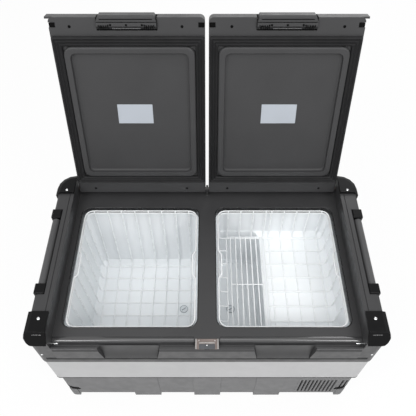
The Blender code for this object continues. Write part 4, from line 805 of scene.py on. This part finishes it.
def make_lid_details(side, sign):
    """Rear cover, screw recesses and nicks drawn as dark sheets of painted shade in the strips of a lid, and the
    bare plate inside it.
    """
    turn, flip, down = lid_turns(side)
    shape = bmesh.new()
    xs = sorted(sign * x for x in COVER_X)
    low = (xs[0], COVER_Y[0], -LID_UNDERSIDE - THIN_STEP)
    slab(shape, low, (xs[1], COVER_Y[1], -COVER_UNDERSIDE), THIN_STEP, flip)
    add_mesh(f"{side}_rear_cover", shape, LID, f"{side}_lid")

    shape = bmesh.new()
    for x in STRIP_HOLE_X:
        for y, z in zip(STRIP_HOLE_Y, (LID_UNDERSIDE, COVER_UNDERSIDE)):
            recess(shape, turn @ Vector((sign * x, y, z)), down, STRIP_HOLE_RADIUS)
    for span in NICK_SPANS:
        xs = sorted(sign * x for x in span)
        low = (xs[0], NICK_Y[0], -LID_UNDERSIDE - THIN_STEP * 2)
        slab(shape, low, (xs[1], NICK_Y[1], -LID_UNDERSIDE + THIN_STEP / 2), THIN_STEP / 4, flip)
    add_mesh(f"{side}_strip_recess_shades", shape, PAINTED_SHADE, f"{side}_lid")

    shape = bmesh.new()
    xs = sorted(sign * x for x in LABEL_X)
    low = (xs[0], LABEL_Y[0], -PLUG_FLOOR - LABEL_THICKNESS)
    slab(shape, low, (xs[1], LABEL_Y[1], -PLUG_FLOOR + LABEL_THICKNESS), LABEL_THICKNESS / 2, flip)
    add_mesh(f"{side}_bare_plate", shape, LABEL, f"{side}_lid")


def make_latch_details(side, sign):
    """Holes, ribs and groove of a latch drawn as dark sheets of painted shade, and the bar between its ribs."""
    turn, flip, down = lid_turns(side)
    middle = sign * LATCH_MIDDLE
    bottom = -LATCH_UNDERSIDE
    shape = bmesh.new()
    # Holes, rib lines and groove are thin dark sheets of painted shade
    for x in LATCH_HOLES:
        place = turn @ Vector((middle + x, LATCH_HOLE_Y, LATCH_UNDERSIDE))
        recess(shape, place, down, LATCH_HOLE_RADIUS)
    for end in (-1, 1):
        for x in spread(RIB_COUNT, *RIB_X):
            place = middle + end * x
            low = (place - RIB_HALF, RIB_Y[0], bottom - RIB_HALF)
            slab(shape, low, (place + RIB_HALF, RIB_Y[1], bottom + THIN_STEP), THIN_STEP / 2, flip)
    low = (middle - LATCH_LINE_HALF, LATCH_LINE[0], bottom - RIB_HALF)
    slab(shape, low, (middle + LATCH_LINE_HALF, LATCH_LINE[1], bottom + THIN_STEP), THIN_STEP / 2, flip)
    add_mesh(f"{side}_latch_shade_marks", shape, PAINTED_SHADE, f"{side}_paddle")

    shape = bmesh.new()
    ends = ((middle + x, *LATCH_BAR_PLACE) for x in (-LATCH_BAR_HALF, LATCH_BAR_HALF))
    bar(shape, *ends, LATCH_BAR_RADIUS, turn)
    add_mesh(f"{side}_latch_bar", shape, GLOSS, f"{side}_paddle")


def show_white(tree):
    """A value that is one for the rays that should see a plain white background."""
    rays = tree.nodes.new("ShaderNodeLightPath")
    seen = rays.outputs["Is Camera Ray"]
    for kind in ("Is Glossy Ray", "Is Transmission Ray"):
        either = tree.nodes.new("ShaderNodeMath")
        either.operation = "MAXIMUM"
        tree.links.new(seen, either.inputs[0])
        tree.links.new(rays.outputs[kind], either.inputs[1])
        seen = either.outputs["Value"]
    return seen


def pale_floor():
    """White paper that keeps a faint shadow."""
    material = bpy.data.materials.new("floor_paper")
    material.use_nodes = True
    tree = material.node_tree
    paper = tree.nodes["Principled BSDF"]
    paper.inputs["Base Color"].default_value = (FLOOR_GREY, FLOOR_GREY, FLOOR_GREY, 1)
    paper.inputs["Roughness"].default_value = FLOOR_ROUGH
    glow = tree.nodes.new("ShaderNodeEmission")
    share = tree.nodes.new("ShaderNodeMath")
    share.operation = "MULTIPLY"
    share.inputs[1].default_value = FLOOR_GLOW
    tree.links.new(show_white(tree), share.inputs[0])
    mix = tree.nodes.new("ShaderNodeMixShader")
    tree.links.new(share.outputs["Value"], mix.inputs["Fac"])
    tree.links.new(paper.outputs["BSDF"], mix.inputs[1])
    tree.links.new(glow.outputs["Emission"], mix.inputs[2])
    tree.links.new(mix.outputs["Shader"], tree.nodes["Material Output"].inputs["Surface"])
    return material


def make_floor():
    """A wide floor of pale paper."""
    mesh = bpy.data.meshes.new("floor")
    ways = ((-1, -1), (1, -1), (1, 1), (-1, 1))
    corners = [(x * FLOOR_REACH, y * FLOOR_REACH, 0) for x, y in ways]
    mesh.from_pydata(corners, [], [(0, 1, 2, 3)])
    floor = bpy.data.objects.new("floor", mesh)
    scene.collection.objects.link(floor)
    mesh.materials.append(pale_floor())


def make_lamps():
    """Soft square lamps, each aimed at a point."""
    for name, place, aim, size, watts in LAMPS:
        lamp = bpy.data.lights.new(name, "AREA")
        lamp.size = size
        lamp.energy = watts
        holder = bpy.data.objects.new(name, lamp)
        holder.location = place
        direction = Vector(aim) - Vector(place)
        holder.rotation_euler = direction.to_track_quat("-Z", "Y").to_euler()
        scene.collection.objects.link(holder)


def make_world():
    """A world that looks white and lights the part less strongly."""
    world = bpy.data.worlds.new("studio")
    scene.world = world
    world.use_nodes = True
    tree = world.node_tree
    background = tree.nodes["Background"]
    background.inputs["Color"].default_value = (1, 1, 1, 1)
    ranged = tree.nodes.new("ShaderNodeMapRange")
    ranged.inputs["To Min"].default_value = WORLD_LIGHT
    ranged.inputs["To Max"].default_value = WORLD_SEEN
    tree.links.new(show_white(tree), ranged.inputs["Value"])
    tree.links.new(ranged.outputs["Result"], background.inputs["Strength"])


def make_camera():
    """The photograph's camera, with plain colours."""
    camera = bpy.data.objects.new("camera", bpy.data.cameras.new("camera"))
    camera.location = CAMERA_PLACE
    camera.rotation_euler = (math.pi / 2 - CAMERA_PITCH, 0, 0)
    camera.data.lens = CAMERA_LENS
    camera.data.sensor_width = SENSOR_WIDTH
    scene.collection.objects.link(camera)
    scene.camera = camera
    scene.view_settings.view_transform = "Standard"


make_floor()
make_lamps()
make_world()
make_camera()
make_left_basket()
make_right_basket()
make_rack()
make_lips()
make_front_details()
make_scoop_sweeps()
make_foot_shadows()
make_body_shadow_lines()
make_drain_grips()
make_screws()
make_lock_details()
for side, sign in SIDES.items():
    make_lid_details(side, sign)
    make_latch_details(side, sign)
